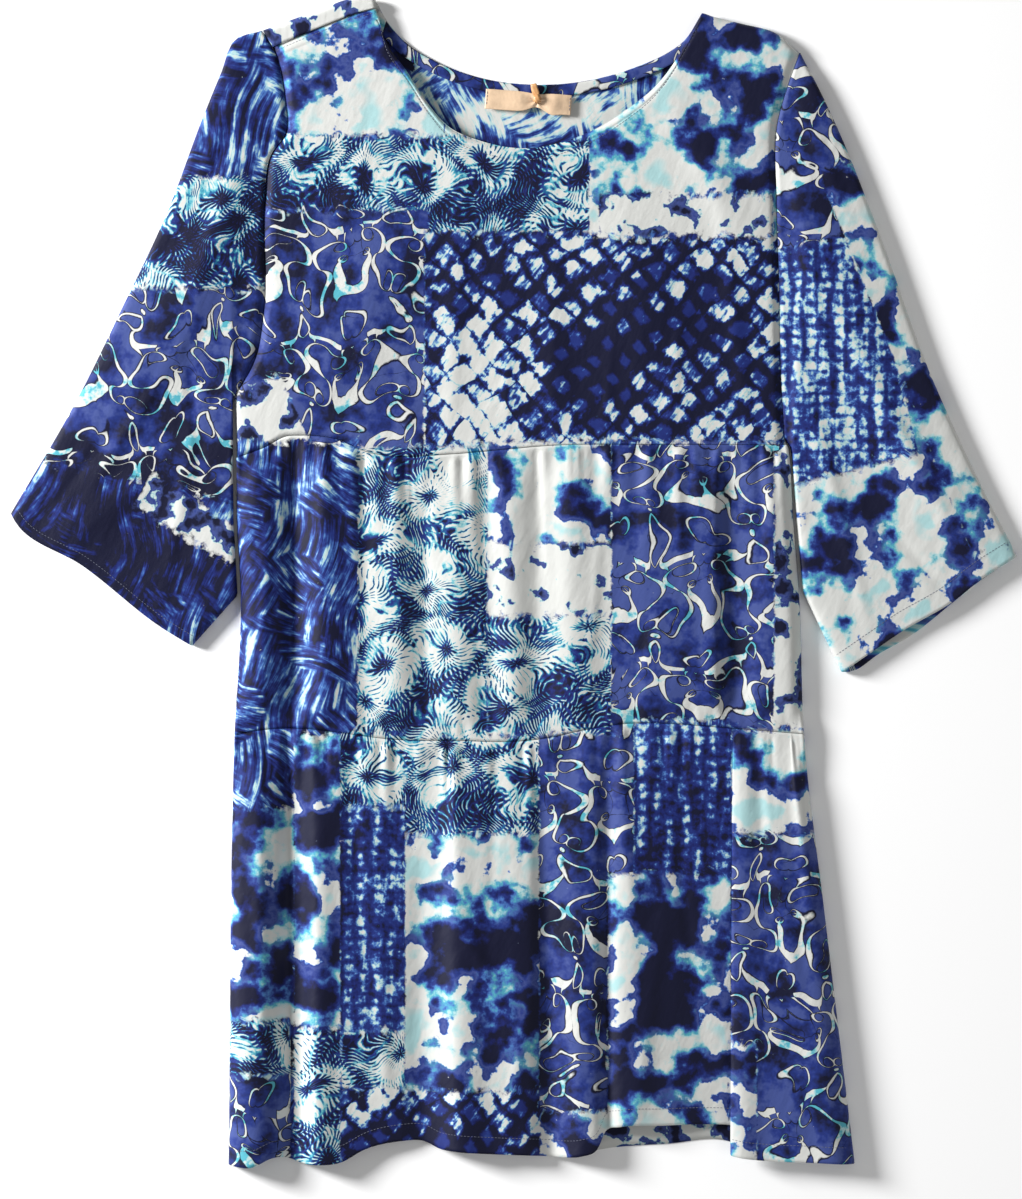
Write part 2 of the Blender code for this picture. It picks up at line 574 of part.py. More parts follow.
def over_shoulder(plan, height):
    return np.concatenate([plan, np.full((len(plan), 1), height)], axis=1)


def back_tier(name, top, bottom, ends, rows, colour):
    """A back panel below the bodice, flat on what the top rests on."""
    left, right = (Edge(side).cut(*end) for side, end in zip((LEFT_SIDE, RIGHT_SIDE), ends))
    u, v = np.meshgrid(back_columns(), rows)
    plan = between(top, bottom, left.by_length, right.by_length, u, v)
    plan[0] = top(back_columns()) - np.array([0, SEAM_GAP / 2])
    points = np.concatenate([plan, np.full(u.shape, BACK_Z)[..., None]], axis=-1)
    return cloth(name, points.reshape(-1, 3), grid_faces(*u.shape), colour)


def back_tiers():
    upper, lower, hem = Edge(UPPER_SEAM), Edge(LOWER_SEAM), Edge(BACK_HEM)
    tops = (UPPER_SEAM[0][1], UPPER_SEAM[-1][1])
    joins = (LOWER_SEAM[0][1], LOWER_SEAM[-1][1])
    lows = (LEFT_SIDE[-1][1], RIGHT_SIDE[-1][1])

    def above_lower(share):
        return lower.by_width(share) + np.array([0, SEAM_GAP / 2])

    back_tier("back_middle_tier", upper.by_width, above_lower, list(zip(tops, joins)),
              BACK_MIDDLE_ROWS, (0.14, 0.20, 0.46))
    back_tier("back_bottom_tier", lower.by_width, hem.by_width, list(zip(joins, lows)),
              BACK_BOTTOM_ROWS, (0.12, 0.18, 0.44))


def sleeve(name, hole, top_edge, under_edge, cuff, cuff_below, swell_table, colour):
    """One sleeve, a flattened tube that is open at the armhole and at the cuff."""
    side = np.sign(top_edge[0][0])
    hole = armhole(hole).moved_left(side * SEAM_GAP / 2)
    outer = Edge(top_edge).moved_left(-side * HALF)
    inner = Edge.through(under_edge).moved_left(side * HALF)
    hole = Edge.through(np.concatenate([hole.points[:-1], inner.points[:1]]))
    cuff, cuff_below = Edge(cuff), Edge(cuff_below)
    inset, rise = np.array(SLEEVE_ROLL).T
    inside = hole.along[1:-1] / hole.length
    rings = []
    for s in SLEEVE_STATIONS:
        start, end = outer.by_length(s), inner.by_length(s)
        near = inset / np.linalg.norm(end - start)
        t = np.concatenate([near, inside, 1 - near[::-1], inside[::-1]])
        share = np.concatenate([rise, np.ones(len(inside)), rise[::-1], np.zeros(len(inside))])
        fading = np.exp(-s / (ARMHOLE_REACH * (1 - t) + UNDERARM_REACH))[:, None]
        first = outer.points[0] + (inner.points[0] - outer.points[0]) * t[:, None]
        plan = start + (end - start) * t[:, None] + (hole.by_length(t) - first) * fading
        lower = bend(cuff_below, t) + (bend(cuff, t) - bend(cuff_below, t)) * share[:, None]
        plan += lower * s ** 4
        groove = GROOVE_DEPTH * np.exp(-(s * outer.length / GROOVE_LENGTH) ** 2)
        top_z = SLEEVE_Z - groove + swells(swell_table, plan[:, 0], plan[:, 1])
        z = BACK_Z + (top_z - BACK_Z) * share
        rings.append(np.concatenate([plan, z[:, None]], axis=1))
    points = np.array(rings)
    faces = grid_faces(*points.shape[:2], ring=True)
    return cloth(name, points.reshape(-1, 3), faces, colour)


def bend(edge, share):
    """How far an edge stands off the straight line between its ends."""
    return edge.by_length(share) - (edge.points[0] + (edge.points[-1] - edge.points[0]) * share[:, None])


def neck_facing():
    """The bias strip that finishes the neck, on the inside of the back."""
    neck = Edge(BACK_NECK)
    line = neck.by_length(np.linspace(*FACING_SPAN, FACING_COLUMNS))
    tangent = np.gradient(line, axis=0)
    tangent /= np.linalg.norm(tangent, axis=1)[:, None]
    away = np.stack([tangent[:, 1], -tangent[:, 0]], axis=1)
    z = WALL + SEAM_GAP + FACING_WALL / 2
    rows = [np.concatenate([line + away * reach, np.full((len(line), 1), z)], axis=1)
            for reach in (FACING_START, FACING_WIDTH / 2, FACING_WIDTH)]
    points = np.array(rows)
    faces = grid_faces(*points.shape[:2])
    return cloth("back_neck_facing", points.reshape(-1, 3), faces, (0.05, 0.07, 0.32), FACING_WALL)


def neck_label():
    """The plain satin ribbon sewn inside the back neck."""
    start, end = np.array(LABEL_LEFT), np.array(LABEL_RIGHT)
    along = (end - start) / np.linalg.norm(end - start)
    aside = np.array([-along[1], along[0]]) * LABEL_HEIGHT / 2
    rows = []
    for side in (1, 0, -1):
        line = [np.array([*(start + (end - start) * share + side * aside), LABEL_Z])
                for share in np.linspace(0, 1, LABEL_COLUMNS)]
        rows.append(line)
    points = np.array(rows)
    faces = grid_faces(*points.shape[:2])
    return cloth("neck_label", points.reshape(-1, 3), faces, (0.87, 0.60, 0.30), RIBBON_WALL, 0.35)


def label_loop():
    """The small ribbon loop knotted on the label, from two primitives joined into one body."""
    height = LABEL_Z + RIBBON_WALL / 2 + SEAM_GAP + KNOT_RADIUS * KNOT_FLATNESS
    knot_x, knot_y = KNOT_PLACE
    bpy.ops.mesh.primitive_uv_sphere_add(segments=14, ring_count=8, radius=KNOT_RADIUS * MM,
                                         location=(knot_x * MM, knot_y * MM, height * MM))
    knot = bpy.context.object
    knot.name = "label_loop"
    knot.scale = (KNOT_WIDTH, 1, KNOT_FLATNESS)
    bpy.ops.object.transform_apply(location=False, rotation=False, scale=True)
    bpy.ops.mesh.primitive_torus_add(major_segments=20, minor_segments=6,
                                     major_radius=LOOP_RADIUS * MM, minor_radius=LOOP_THICKNESS * MM,
                                     location=(knot_x * MM, (knot_y + LOOP_RADIUS) * MM, height * MM))
    loop = bpy.context.object
    loop.scale = (LOOP_WIDTH, 1, 1)
    bpy.ops.object.transform_apply(location=False, rotation=False, scale=True)
    loop.hide_render = True
    loop.display_type = "WIRE"
    join = knot.modifiers.new("Join the loop", "BOOLEAN")
    join.operation = "UNION"
    join.object = loop
    knot.data.shade_smooth()
    knot.data.materials.append(material("label_loop_satin", (0.80, 0.52, 0.24), 0.4))
    return knot


def clear_scene():
    for old in list(bpy.data.objects):
        bpy.data.objects.remove(old, do_unlink=True)


def build():
    clear_scene()
    upper, lower = upper_front_seam(), Edge(LOWER_SEAM)
    back_bodice()
    back_tiers()
    front_bodice()
    front_tier("front_middle_tier", MIDDLE_FOLDS, upper, lower, MIDDLE_ROWS, (0.12, 0.18, 0.44))
    front_tier("front_bottom_tier", BOTTOM_FOLDS, lower, None, BOTTOM_ROWS, (0.10, 0.15, 0.40))
    sleeve("left_sleeve", LEFT_ARMHOLE, LEFT_SLEEVE_TOP, LEFT_SLEEVE_UNDER, LEFT_CUFF, LEFT_CUFF,
           LEFT_SLEEVE_SWELLS, (0.08, 0.13, 0.40))
    sleeve("right_sleeve", RIGHT_ARMHOLE, RIGHT_SLEEVE_TOP, RIGHT_SLEEVE_UNDER, RIGHT_CUFF,
           RIGHT_CUFF_BELOW, RIGHT_SLEEVE_SWELLS, (0.14, 0.22, 0.48))
    neck_facing()
    neck_label()
    label_loop()


build()
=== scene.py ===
from collections import namedtuple

import bpy
import numpy as np
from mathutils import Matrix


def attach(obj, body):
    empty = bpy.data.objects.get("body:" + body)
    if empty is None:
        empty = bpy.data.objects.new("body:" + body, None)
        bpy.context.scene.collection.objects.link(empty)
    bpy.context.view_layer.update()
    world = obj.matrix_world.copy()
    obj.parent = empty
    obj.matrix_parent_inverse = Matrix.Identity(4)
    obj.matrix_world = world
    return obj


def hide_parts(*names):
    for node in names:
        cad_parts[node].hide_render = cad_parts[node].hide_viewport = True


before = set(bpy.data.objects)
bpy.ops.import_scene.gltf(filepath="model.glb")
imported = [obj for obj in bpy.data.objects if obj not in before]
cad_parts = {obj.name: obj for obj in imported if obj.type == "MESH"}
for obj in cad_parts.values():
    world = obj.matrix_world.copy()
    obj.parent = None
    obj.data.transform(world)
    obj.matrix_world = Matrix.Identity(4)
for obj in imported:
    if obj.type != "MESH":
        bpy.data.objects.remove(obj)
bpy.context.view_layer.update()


# Studio
# The top lies on its back on a pale table, seen from straight above. A wide soft light stands to the
# left of the neck, and a fainter one fills from the right.
MM = 0.001
PHOTO_HEIGHT = 0.8993
PHOTO_MIDDLE = (-0.00225, -0.0131)
CLOTH_LEVEL = 0.008
LENS = 135.0
SENSOR = 36.0
ROOM_LIGHT = 0.25
TABLE_SIZE = 30
TABLE_WHITE = (0.98, 0.98, 0.98)
TABLE_ROUGHNESS = 0.9


def plain_material(name, colour, roughness):
    """A material of one colour."""
    made = bpy.data.materials.new(name)
    made.use_nodes = True
    shader = made.node_tree.nodes["Principled BSDF"]
    shader.inputs["Base Color"].default_value = (*colour, 1)
    shader.inputs["Roughness"].default_value = roughness
    return made


camera_data = bpy.data.cameras.new("Camera")
camera_data.lens = LENS
camera_data.sensor_width = SENSOR
camera = bpy.data.objects.new("Camera", camera_data)
camera.location = (*PHOTO_MIDDLE, CLOTH_LEVEL + PHOTO_HEIGHT * LENS / SENSOR)
bpy.context.scene.collection.objects.link(camera)
bpy.context.scene.camera = camera
bpy.context.scene.view_settings.view_transform = "Standard"


def soft_light(name, place, size, power):
    """A round lamp that faces the middle of the top."""
    lamp = bpy.data.lights.new(name, "AREA")
    lamp.shape = "DISK"
    lamp.size = size
    lamp.energy = power
    holder = bpy.data.objects.new(name, lamp)
    holder.location = place
    holder.rotation_euler = holder.location.to_track_quat("Z", "Y").to_euler()
    bpy.context.scene.collection.objects.link(holder)


soft_light("Key light", place=(-2.6, 0.9, 1.15), size=0.9, power=194)
soft_light("Fill light", place=(1.8, -1.2, 1.8), size=1.6, power=14)
world = bpy.data.worlds.new("Pale room")
world.use_nodes = True
world.node_tree.nodes["Background"].inputs["Color"].default_value = (1, 1, 1, 1)
world.node_tree.nodes["Background"].inputs["Strength"].default_value = ROOM_LIGHT
bpy.context.scene.world = world

bpy.ops.mesh.primitive_plane_add(size=TABLE_SIZE)
floor = bpy.context.object
floor.name = "Table"
floor.data.materials.append(plain_material("Table", TABLE_WHITE, TABLE_ROUGHNESS))


# Printed viscose
# All the panels are cut from one light viscose, printed as a patchwork of tie-dye, tied resist,
# brush streaks, lattice and curled leaves in navy, royal blue, turquoise and white.
class Value:
    """A number, vector or colour of a shader. Calculating with it adds the nodes."""

    def __init__(self, tree, socket=None):
        self.tree, self.socket = tree, socket

    def node(self, kind, settings=None, sockets=None, output=0):
        """Adds a node, with its settings first, and then the values or links of its sockets."""
        made = self.tree.nodes.new(kind)
        for name, setting in (settings or {}).items():
            if name == "stops":
                stops = made.color_ramp.elements
                while len(stops) < len(setting):
                    stops.new(1)
                for stop, (position, colour) in zip(stops, setting):
                    stop.position, stop.color = position, colour
            else:
                setattr(made, name, setting)
        for key, value in (sockets or {}).items():
            if isinstance(value, Value):
                self.tree.links.new(value.socket, made.inputs[key])
            else:
                made.inputs[key].default_value = value
        return Value(self.tree, made.outputs[output])

    def math(self, operation, *others, clamp=False):
        settings = {"operation": operation, "use_clamp": clamp}
        return self.node("ShaderNodeMath", settings, dict(enumerate((self, *others))))

    def vector(self, operation, *others, output=0):
        sockets = dict(enumerate((self, *others)))
        return self.node("ShaderNodeVectorMath", {"operation": operation}, sockets, output)

    def __add__(self, other):
        return self.math("ADD", other)

    def __sub__(self, other):
        return self.math("SUBTRACT", other)

    def __rsub__(self, other):
        return self.node("ShaderNodeMath", {"operation": "SUBTRACT"}, {0: other, 1: self})

    def __mul__(self, other):
        return self.math("MULTIPLY", other)

    def __truediv__(self, other):
        return self.math("DIVIDE", other)

    def __abs__(self):
        return self.math("ABSOLUTE")

    __radd__, __rmul__ = __add__, __mul__

    def under(self, edge, blur):
        """1 where this is under the edge, 0 where it is over, and a soft step this wide between."""
        return self.math("MULTIPLY_ADD", -1 / blur, edge / blur + 0.5, clamp=True)

    def pick(self, below, above):
        """The first colour where this is 0, and the second where it is 1."""
        return self.node("ShaderNodeMix", {"data_type": "RGBA"}, {0: self, 6: below, 7: above}, 2)

    def noise(self, size, detail=2.0, roughness=0.55, output=0):
        """Soft noise, about 0.5, with blots of this size in millimetres."""
        sockets = {"Vector": self, "Scale": 1 / size, "Detail": detail, "Roughness": roughness}
        return self.node("ShaderNodeTexNoise", {"noise_dimensions": "2D"}, sockets, output)

    def warped(self, size, reach, detail=1.0):
        """The place moved about by soft noise, by up to about half of this reach."""
        return self.vector("ADD", self.noise(size, detail, output=1).vector("MULTIPLY", (reach, reach, 0)))

    def ramp(self, *stops):
        return self.node("ShaderNodeValToRGB", {"stops": stops}, {0: self})

    def turned(self, degrees):
        return self.node("ShaderNodeVectorRotate", {"rotation_type": "Z_AXIS"},
                         {"Vector": self, "Angle": np.radians(degrees)})

    def stretched(self, across, along):
        return self.vector("MULTIPLY", (across, along, 1))

    def across_and_up(self):
        split = self.node("ShaderNodeSeparateXYZ", None, {0: self})
        return split, Value(self.tree, split.socket.node.outputs[1])

    def from_cell_middle(self):
        """How far a place is from the middle of its 1 by 1 cell, 0 to 1, across and up."""
        return (abs(part.math("FRACT") - 0.5) * 2 for part in self.across_and_up())

    def point(self, across, up):
        return self.node("ShaderNodeCombineXYZ", None, {0: across, 1: up})


ON_SCREEN = 1.18


def dye(red, green, blue):
    """The dye that the studio's light shows as this colour on screen."""
    shares = np.array([red, green, blue]) / 255
    linear = np.where(shares <= 0.04045, shares / 12.92, ((shares + 0.055) / 1.055) ** 2.4)
    return (*(float(share) for share in linear / ON_SCREEN), 1.0)


WHITE = dye(220, 221, 217)
ICE = dye(176, 216, 218)
TURQUOISE = dye(86, 178, 196)
TEAL = dye(22, 104, 150)
PERIWINKLE = dye(66, 82, 147)
SKY = dye(72, 118, 190)
ROYAL = dye(31, 51, 129)
DEEP_ROYAL = dye(18, 30, 100)
NAVY = dye(8, 12, 46)
KINDS = ("streaks", "blots", "spider", "scrolls", "lattice", "squares", "spots")
SIDE_BLUR = 5.0
END_BLUR = 15.0
Patch = namedtuple("Patch", "kind left right top bottom turn", defaults=(0,))
BODY_PATCHES = (
    Patch("blots", -240, -44, 460, 332), Patch("blots", -52, 64, 460, 316),
    Patch("spider", -240, 58, 334, 258), Patch("scrolls", -240, -64, 278, 98),
    Patch("lattice", -67, 240, 262, 93), Patch("blots", 56, 240, 460, 258),
    Patch("spots", 64, 194, 290, 260), Patch("spots", -230, -160, 142, 84, 25),
    Patch("streaks", -250, -115, 106, -124), Patch("spider", -117, -18, 102, -120),
    Patch("blots", -20, 104, 106, 26), Patch("spots", -20, 94, 28, -27),
    Patch("spider", -20, 94, -25, -120), Patch("scrolls", 73, 200, 106, -117),
    Patch("spots", 195, 260, 95, -117), Patch("streaks", -250, -163, -110, -171),
    Patch("blots", -250, -163, -171, -331), Patch("spider", -250, -168, -329, -372),
    Patch("scrolls", -250, -168, -370, -470), Patch("blots", -165, -129, -115, -338),
    Patch("spider", -165, -126, -334, -470), Patch("spider", -130, -80, -113, -170),
    Patch("squares", -130, -80, -168, -338), Patch("spider", -130, -48, -336, -382),
    Patch("lattice", -130, 23, -380, -470), Patch("blots", -82, 21, -184, -382),
    Patch("spider", -82, 21, -115, -188), Patch("scrolls", 19, 92, -115, -398),
    Patch("blots", 19, 94, -396, -470), Patch("squares", 90, 163, -105, -219),
    Patch("blots", 70, 163, -218, -470), Patch("blots", 163, 300, -110, -192),
    Patch("scrolls", 163, 300, -189, -470), Patch("blots", 161, 182, -345, -470),
)
BACK_PATCHES = BODY_PATCHES + (
    Patch("streaks", -130, 66, 480, 290, 24), Patch("spots", -175, -50, -390, -480),
    Patch("spots", 100, 196, 490, 402),
)
LEFT_SLEEVE_PATCHES = (
    Patch("scrolls", -500, 0, 500, -200), Patch("streaks", -262, -150, 480, 296, 8),
    Patch("spider", -290, -180, 303, 219), Patch("streaks", -500, 0, 66, -200, -12),
    Patch("spots", -285, -200, 60, 34, -30),
)
RIGHT_SLEEVE_PATCHES = (
    Patch("blots", 0, 500, 500, -200), Patch("scrolls", 150, 262, 420, 246, 12),
    Patch("squares", 150, 284, 250, 78, 14), Patch("blots", 284, 350, 330, 20, 22),
)
# Darker and lighter places of the print; some marks on the lower tiers also darken it where the folds lie
# in shade, which is painted shade: x, y, half length, half width, angle and amount
TONES_AND_PAINTED_SHADE = (
    (76, 174, 56, 36, 40, 1.5), (-40, 240, 70, 22, 160, 0.5), (165, 190, 40, 70, 0, 0.25),
    (-20, 130, 50, 40, 140, -0.5), (-180, 245, 22, 45, 0, 0.8), (-110, 190, 20, 18, 0, 0.7),
    (165, 395, 40, 45, 0, 0.5), (-130, 395, 50, 25, 20, 0.5),
    (-140, 40, 12, 90, 0, 0.5), (-170, -20, 20, 110, 0, 0.35), (-40, 60, 26, 40, 0, -0.5),
    (50, 0, 60, 26, 0, -0.4), (-75, -20, 44, 90, 0, 0.1), (0, -80, 60, 22, 0, 0.1),
    (125, 60, 46, 40, 0, 0.25), (110, -5, 70, 9, 155, -0.9), (150, -60, 40, 30, 0, 0.2),
    (-200, -190, 30, 30, 20, 0.5), (-205, -280, 30, 60, 0, 1.0), (-106, -190, 24, 22, 0, 0.4),
    # The marks at (-20, -275), (-30, -300) and (118, -300) darken the lower tier where its folds lie in
    # shade: painted shade.
    (-10, -160, 30, 30, 0, 0.15), (-30, -215, 52, 20, 0, -0.9), (-20, -275, 60, 30, 20, 1.1),
    (15, -340, 40, 40, 0, 0.3), (-60, -330, 30, 40, 0, -0.6), (60, -270, 12, 50, 0, 0.4),
    (140, -160, 34, 50, 0, 0.5), (120, -252, 42, 13, 15, 1.4), (118, -290, 40, 12, 0, -0.2),
    (118, -322, 45, 11, 0, 1.6), (118, -347, 40, 9, 0, -0.8), (118, -372, 45, 9, 10, 1.3),
    (118, -402, 40, 12, 0, -0.6), (118, -300, 34, 90, 0, 0.9), (205, -150, 40, 25, 0, -0.4),
    (220, -300, 50, 70, 0, 0.3), (-60, -430, 90, 24, 0, 1.2), (-147, -210, 20, 90, 0, 1.1),
    (20, 295, 60, 34, 0, 0.45), (-120, 290, 60, 34, 0, 0.4), (-30, -300, 70, 70, 0, 0.35),
    (-310, 40, 90, 60, 30, 1.8), (-250, -10, 60, 25, 0, 0.8), (-240, 380, 40, 30, 0, 0.5),
    (-245, 255, 50, 34, 0, 1.1), (-300, 190, 30, 40, 0, 0.2), (235, 180, 30, 80, 10, -0.1),
    (225, 330, 20, 60, 10, 0.6), (300, 200, 30, 110, 20, -0.3), (250, 30, 50, 40, 0, 0.25),
    (330, 20, 30, 30, 0, -0.5), (265, -40, 30, 16, 0, -0.6), (-30, 354, 90, 17, 0, -1.8),
)


def along_and_aside(from_x, from_y, degrees):
    """How far a place lies along a line at this angle through the middle, and to its left."""
    turn = np.radians(degrees)
    return from_x * np.cos(turn) + from_y * np.sin(turn), from_y * np.cos(turn) - from_x * np.sin(turn)


def soft_marks(table, x, y):
    """The sum of a table's soft oval marks at each place."""
    total = np.zeros_like(x)
    for mark_x, mark_y, half_length, half_width, angle, amount in table:
        along, aside = along_and_aside(x - mark_x, y - mark_y, angle)
        total += amount * np.exp(-(along / half_length) ** 2 - (aside / half_width) ** 2)
    return total


def patch_fields(patches, x, y):
    """How far inside each kind of patch a point is, 0.5 on its edge, and the darkness of the dye with some
    painted fold shade.
    """
    fields = np.zeros((len(KINDS), len(x)))
    fields[0] = 1
    for patch in patches:
        from_x, from_y = x - (patch.left + patch.right) / 2, y - (patch.top + patch.bottom) / 2
        along, aside = along_and_aside(from_x, from_y, patch.turn)
        depth = np.minimum(((patch.right - patch.left) / 2 - abs(along)) / SIDE_BLUR,
                           ((patch.top - patch.bottom) / 2 - abs(aside)) / END_BLUR)
        share = np.clip(0.5 + depth, 0, 1)
        fields = np.minimum(fields, 1 - share)
        kind = KINDS.index(patch.kind)
        fields[kind] = np.maximum(fields[kind], share)
    return dict(zip(KINDS, fields)) | {"tone": soft_marks(TONES_AND_PAINTED_SHADE, x, y)}


# The cloth's grain, each about 0: noise in three sizes, and the tone of the dye, partly painted fold shade
Grain = namedtuple("Grain", "fine medium broad tone")


def brush_streaks(place, grain):
    """Long bent strokes down the cloth, and patches where they cross it."""
    bent = place.warped(80, 34, detail=0.0)
    down = bent.turned(16).stretched(1, 0.13).noise(5.5, 3.0, 0.6)
    over = bent.turned(-62).stretched(1, 0.16).noise(5.0, 3.0, 0.6)
    level = place.noise(46, 1.0).under(0.46, 0.06).pick(down, over)
    level = level + grain.broad * 0.55 + grain.medium * 0.25 - grain.tone * 0.14
    return level.ramp((0.33, NAVY), (0.41, DEEP_ROYAL), (0.49, ROYAL), (0.58, SKY), (0.65, ICE),
                      (0.74, WHITE))


def tie_dye_blots(place, grain):
    """Ink that ran into the white. Some of its edges are sharp, and some run out softly."""
    level = (place.noise(32, 2.5, 0.5) - 0.5) * 1.5 + grain.medium * 0.24
    level = level + grain.fine * 0.1 + grain.tone * 0.2 + 0.5
    sharp = level.ramp((0.22, ICE), (0.34, WHITE), (0.475, WHITE), (0.50, SKY), (0.52, ROYAL),
                       (0.58, PERIWINKLE), (0.64, ROYAL), (0.73, NAVY))
    level = level + grain.medium * 0.2
    soft = level.ramp((0.30, WHITE), (0.39, WHITE), (0.46, ICE), (0.52, TURQUOISE), (0.58, SKY),
                      (0.64, ROYAL), (0.70, DEEP_ROYAL), (0.78, NAVY))
    return place.noise(50, 2.0).under(0.5, 0.1).pick(sharp, soft)


KNOT_SPACING = 52
RING_PITCH = 6.2


def tied_resist(place, grain):
    """Knots strewn about, each a dark middle with ragged rings of short strokes on white."""
    bent = place.warped(40, 42)
    sockets = {"Vector": bent, "Scale": 1 / KNOT_SPACING, "Randomness": 0.75}
    knot = place.node("ShaderNodeTexVoronoi", {"voronoi_dimensions": "2D"}, sockets, 2)
    across, up = bent.vector("SUBTRACT", knot).across_and_up()
    far = (abs(across) + abs(up)) * 0.86 + grain.medium * 6
    ring = (far / RING_PITCH).math("FLOOR")
    turn = across.math("ARCTAN2", up) / (2 * np.pi)
    strokes = turn * (ring * 10 + 7) + ring * 0.37 + grain.medium * 0.9
    between_strokes = abs(strokes.math("FRACT") - 0.5)
    whole = abs((far / RING_PITCH).math("FRACT") - 0.5).under(0.34, 0.2)
    inked = (place.noise(24, 2.0) * 3.4 - 0.9).math("MAXIMUM", 0.1)
    stroke = between_strokes.under(0.13, 0.2) * whole * inked
    gap = (0.5 - between_strokes).under(0.12, 0.16) * whole
    ground = ((far - 17) / 22).math("MINIMUM", 0.64)
    middle = (1.1 - far / 13).math("MAXIMUM", 0.04).math("MAXIMUM", ground)
    level = middle + stroke * 0.62 - gap * 0.45 + 0.07
    level = level + grain.medium * 0.8 + grain.broad * 1.3 + grain.tone * 0.6 + grain.fine * 0.3
    return level.ramp((0.0, WHITE), (0.21, WHITE), (0.30, ICE), (0.43, TURQUOISE), (0.53, TEAL),
                      (0.66, ROYAL), (0.82, DEEP_ROYAL), (1.0, NAVY))


# The curled leaves' repeat: arcs that swell toward one side and taper away to the other
CURL_WIDTH = 66.0
CURL_HEIGHT = 82.0
OUTLINE = 0.75
Curl = namedtuple("Curl", "x y radius width toward reach")
CURLS = (
    Curl(15, 22, 13, 1.7, 160, 0.0), Curl(6.8, -0.5, 11, 1.1, 340, 0.0), Curl(4.7, -6.1, 5, 0.7, 140, 0.3),
    Curl(17.5, 29, 5.5, 0.8, 340, 0.3), Curl(24, -14, 12, 4.2, 30, -0.4), Curl(29, -27, 6, 0.7, 120, 0.5),
    Curl(-7, -29, 11.5, 0.7, 0, -0.1), Curl(0, -16, 0.8, 1.2, 0, 1.0), Curl(30, 8, 9, 2.8, 200, -0.3),
    Curl(14, -31, 9, 3.6, 250, -0.35), Curl(27, 36, 7, 0.8, 90, 0.2), Curl(2, 37, 9, 3.2, 60, -0.4),
    Curl(24, 15, 3.2, 0.7, 200, 0.6),
)


def curled_leaves(place, grain):
    """Bent white curls with a thin dark outline, on periwinkle and royal blue."""
    across, up = place.warped(46, 46).across_and_up()
    across = across.math("PINGPONG", CURL_WIDTH / 2)
    up = up.math("WRAP", CURL_HEIGHT / 2, -CURL_HEIGHT / 2)
    spot = place.point(across, up)
    nearest = None
    for curl in CURLS:
        aside = spot.vector("SUBTRACT", (curl.x, curl.y, 0))
        far = aside.vector("LENGTH", output=1)
        toward = np.radians(curl.toward)
        facing = aside.vector("DOT_PRODUCT", (np.cos(toward), np.sin(toward), 0), output=1) / far
        sideways = aside.vector("DOT_PRODUCT", (-np.sin(toward), np.cos(toward), 0), output=1) / far
        swell = (facing + curl.reach).math("MAXIMUM", -0.4) * (curl.width / (1 + curl.reach))
        swell = swell * (sideways * 0.75 + 1)
        distance = abs(far - curl.radius) - swell
        nearest = nearest.math("MINIMUM", distance) if nearest else distance
    distance = nearest + grain.fine * 0.6
    ground = grain.broad * 1.3 + grain.tone * 0.25 + 0.55
    ground = ground.ramp((0.48, PERIWINKLE), (0.60, ROYAL), (0.78, NAVY))
    leaf = grain.medium + grain.broad + 0.5
    leaf = leaf.ramp((0.40, WHITE), (0.52, WHITE), (0.60, ICE), (0.68, TURQUOISE))
    outlined = distance.under(OUTLINE, 0.4).pick(ground, NAVY)
    return distance.under(0, 0.4).pick(outlined, leaf)


LATTICE_CELL = (16, 19)


def tied_lattice(place, grain):
    """Soft white cells between crossing dark lines."""
    grid = place.warped(40, 16).turned(-42).stretched(1 / LATTICE_CELL[0], 1 / LATTICE_CELL[1])
    cell = grid.vector("FLOOR")
    chance = cell.node("ShaderNodeTexWhiteNoise", {"noise_dimensions": "2D"}, {"Vector": cell}) - 0.5
    cell_x, cell_y = grid.from_cell_middle()
    round_cell = (cell_x.math("POWER", 5) + cell_y.math("POWER", 5)).math("POWER", 0.2)
    ticks = place.turned(38).stretched(1, 0.22).noise(4.5, 2.0) - 0.5
    inside = grain.tone * 0.5 + grain.medium * 0.9 + grain.broad * 0.7 + chance * 0.55 + ticks * 0.9 + 0.36
    edges = round_cell - 0.50 + grain.fine * 0.3 + grain.medium * 0.6 + grain.tone * 0.14
    level = inside.math("MINIMUM", 0.66).math("MAXIMUM", 0) + edges.math("MAXIMUM", 0) + grain.broad * 0.3
    return level.ramp((0.0, WHITE), (0.36, WHITE), (0.44, ICE), (0.52, SKY), (0.61, ROYAL),
                      (0.74, DEEP_ROYAL), (0.90, NAVY))


SQUARE_CELL = (10.5, 8.5)


def small_squares(place, grain):
    """Rows of small light marks on royal blue, that run into white."""
    grid = place.warped(18, 7).stretched(1 / SQUARE_CELL[0], 1 / SQUARE_CELL[1])
    cell_x, cell_y = grid.from_cell_middle()
    columns = place.stretched(1, 0.2).noise(9, 2.0) - 0.5
    level = cell_x.math("MAXIMUM", cell_y) * 0.45 + columns * 1.4
    level = level + grain.medium * 1.3 + grain.tone * 0.5 + grain.fine * 0.6 + 0.05
    return (level * 0.8 + 0.1).ramp((0.02, WHITE), (0.16, ICE), (0.28, SKY), (0.40, ROYAL),
                                    (0.62, DEEP_ROYAL), (0.80, NAVY))


def ink_spots(place, grain):
    """Small blots of ink on white."""
    level = place.noise(19, 2.6, 0.5) + grain.fine * 0.1 + grain.tone * 0.10
    return level.ramp((0.0, WHITE), (0.55, WHITE), (0.565, ICE), (0.585, ROYAL), (0.62, PERIWINKLE),
                      (0.70, NAVY))


PRINTS = dict(zip(KINDS, (brush_streaks, tie_dye_blots, tied_resist, curled_leaves, tied_lattice,
                          small_squares, ink_spots)))
WEAVE_PITCH = 0.55
WEAVE_HEIGHT = 0.02
WRINKLE_HEIGHT = 0.9


def place_on_cloth(made):
    """The place in the print, in millimetres."""
    place = Value(made.node_tree).node("ShaderNodeUVMap", {"uv_map": "Print"})
    return place.vector("MULTIPLY", (1 / MM, 1 / MM, 0))


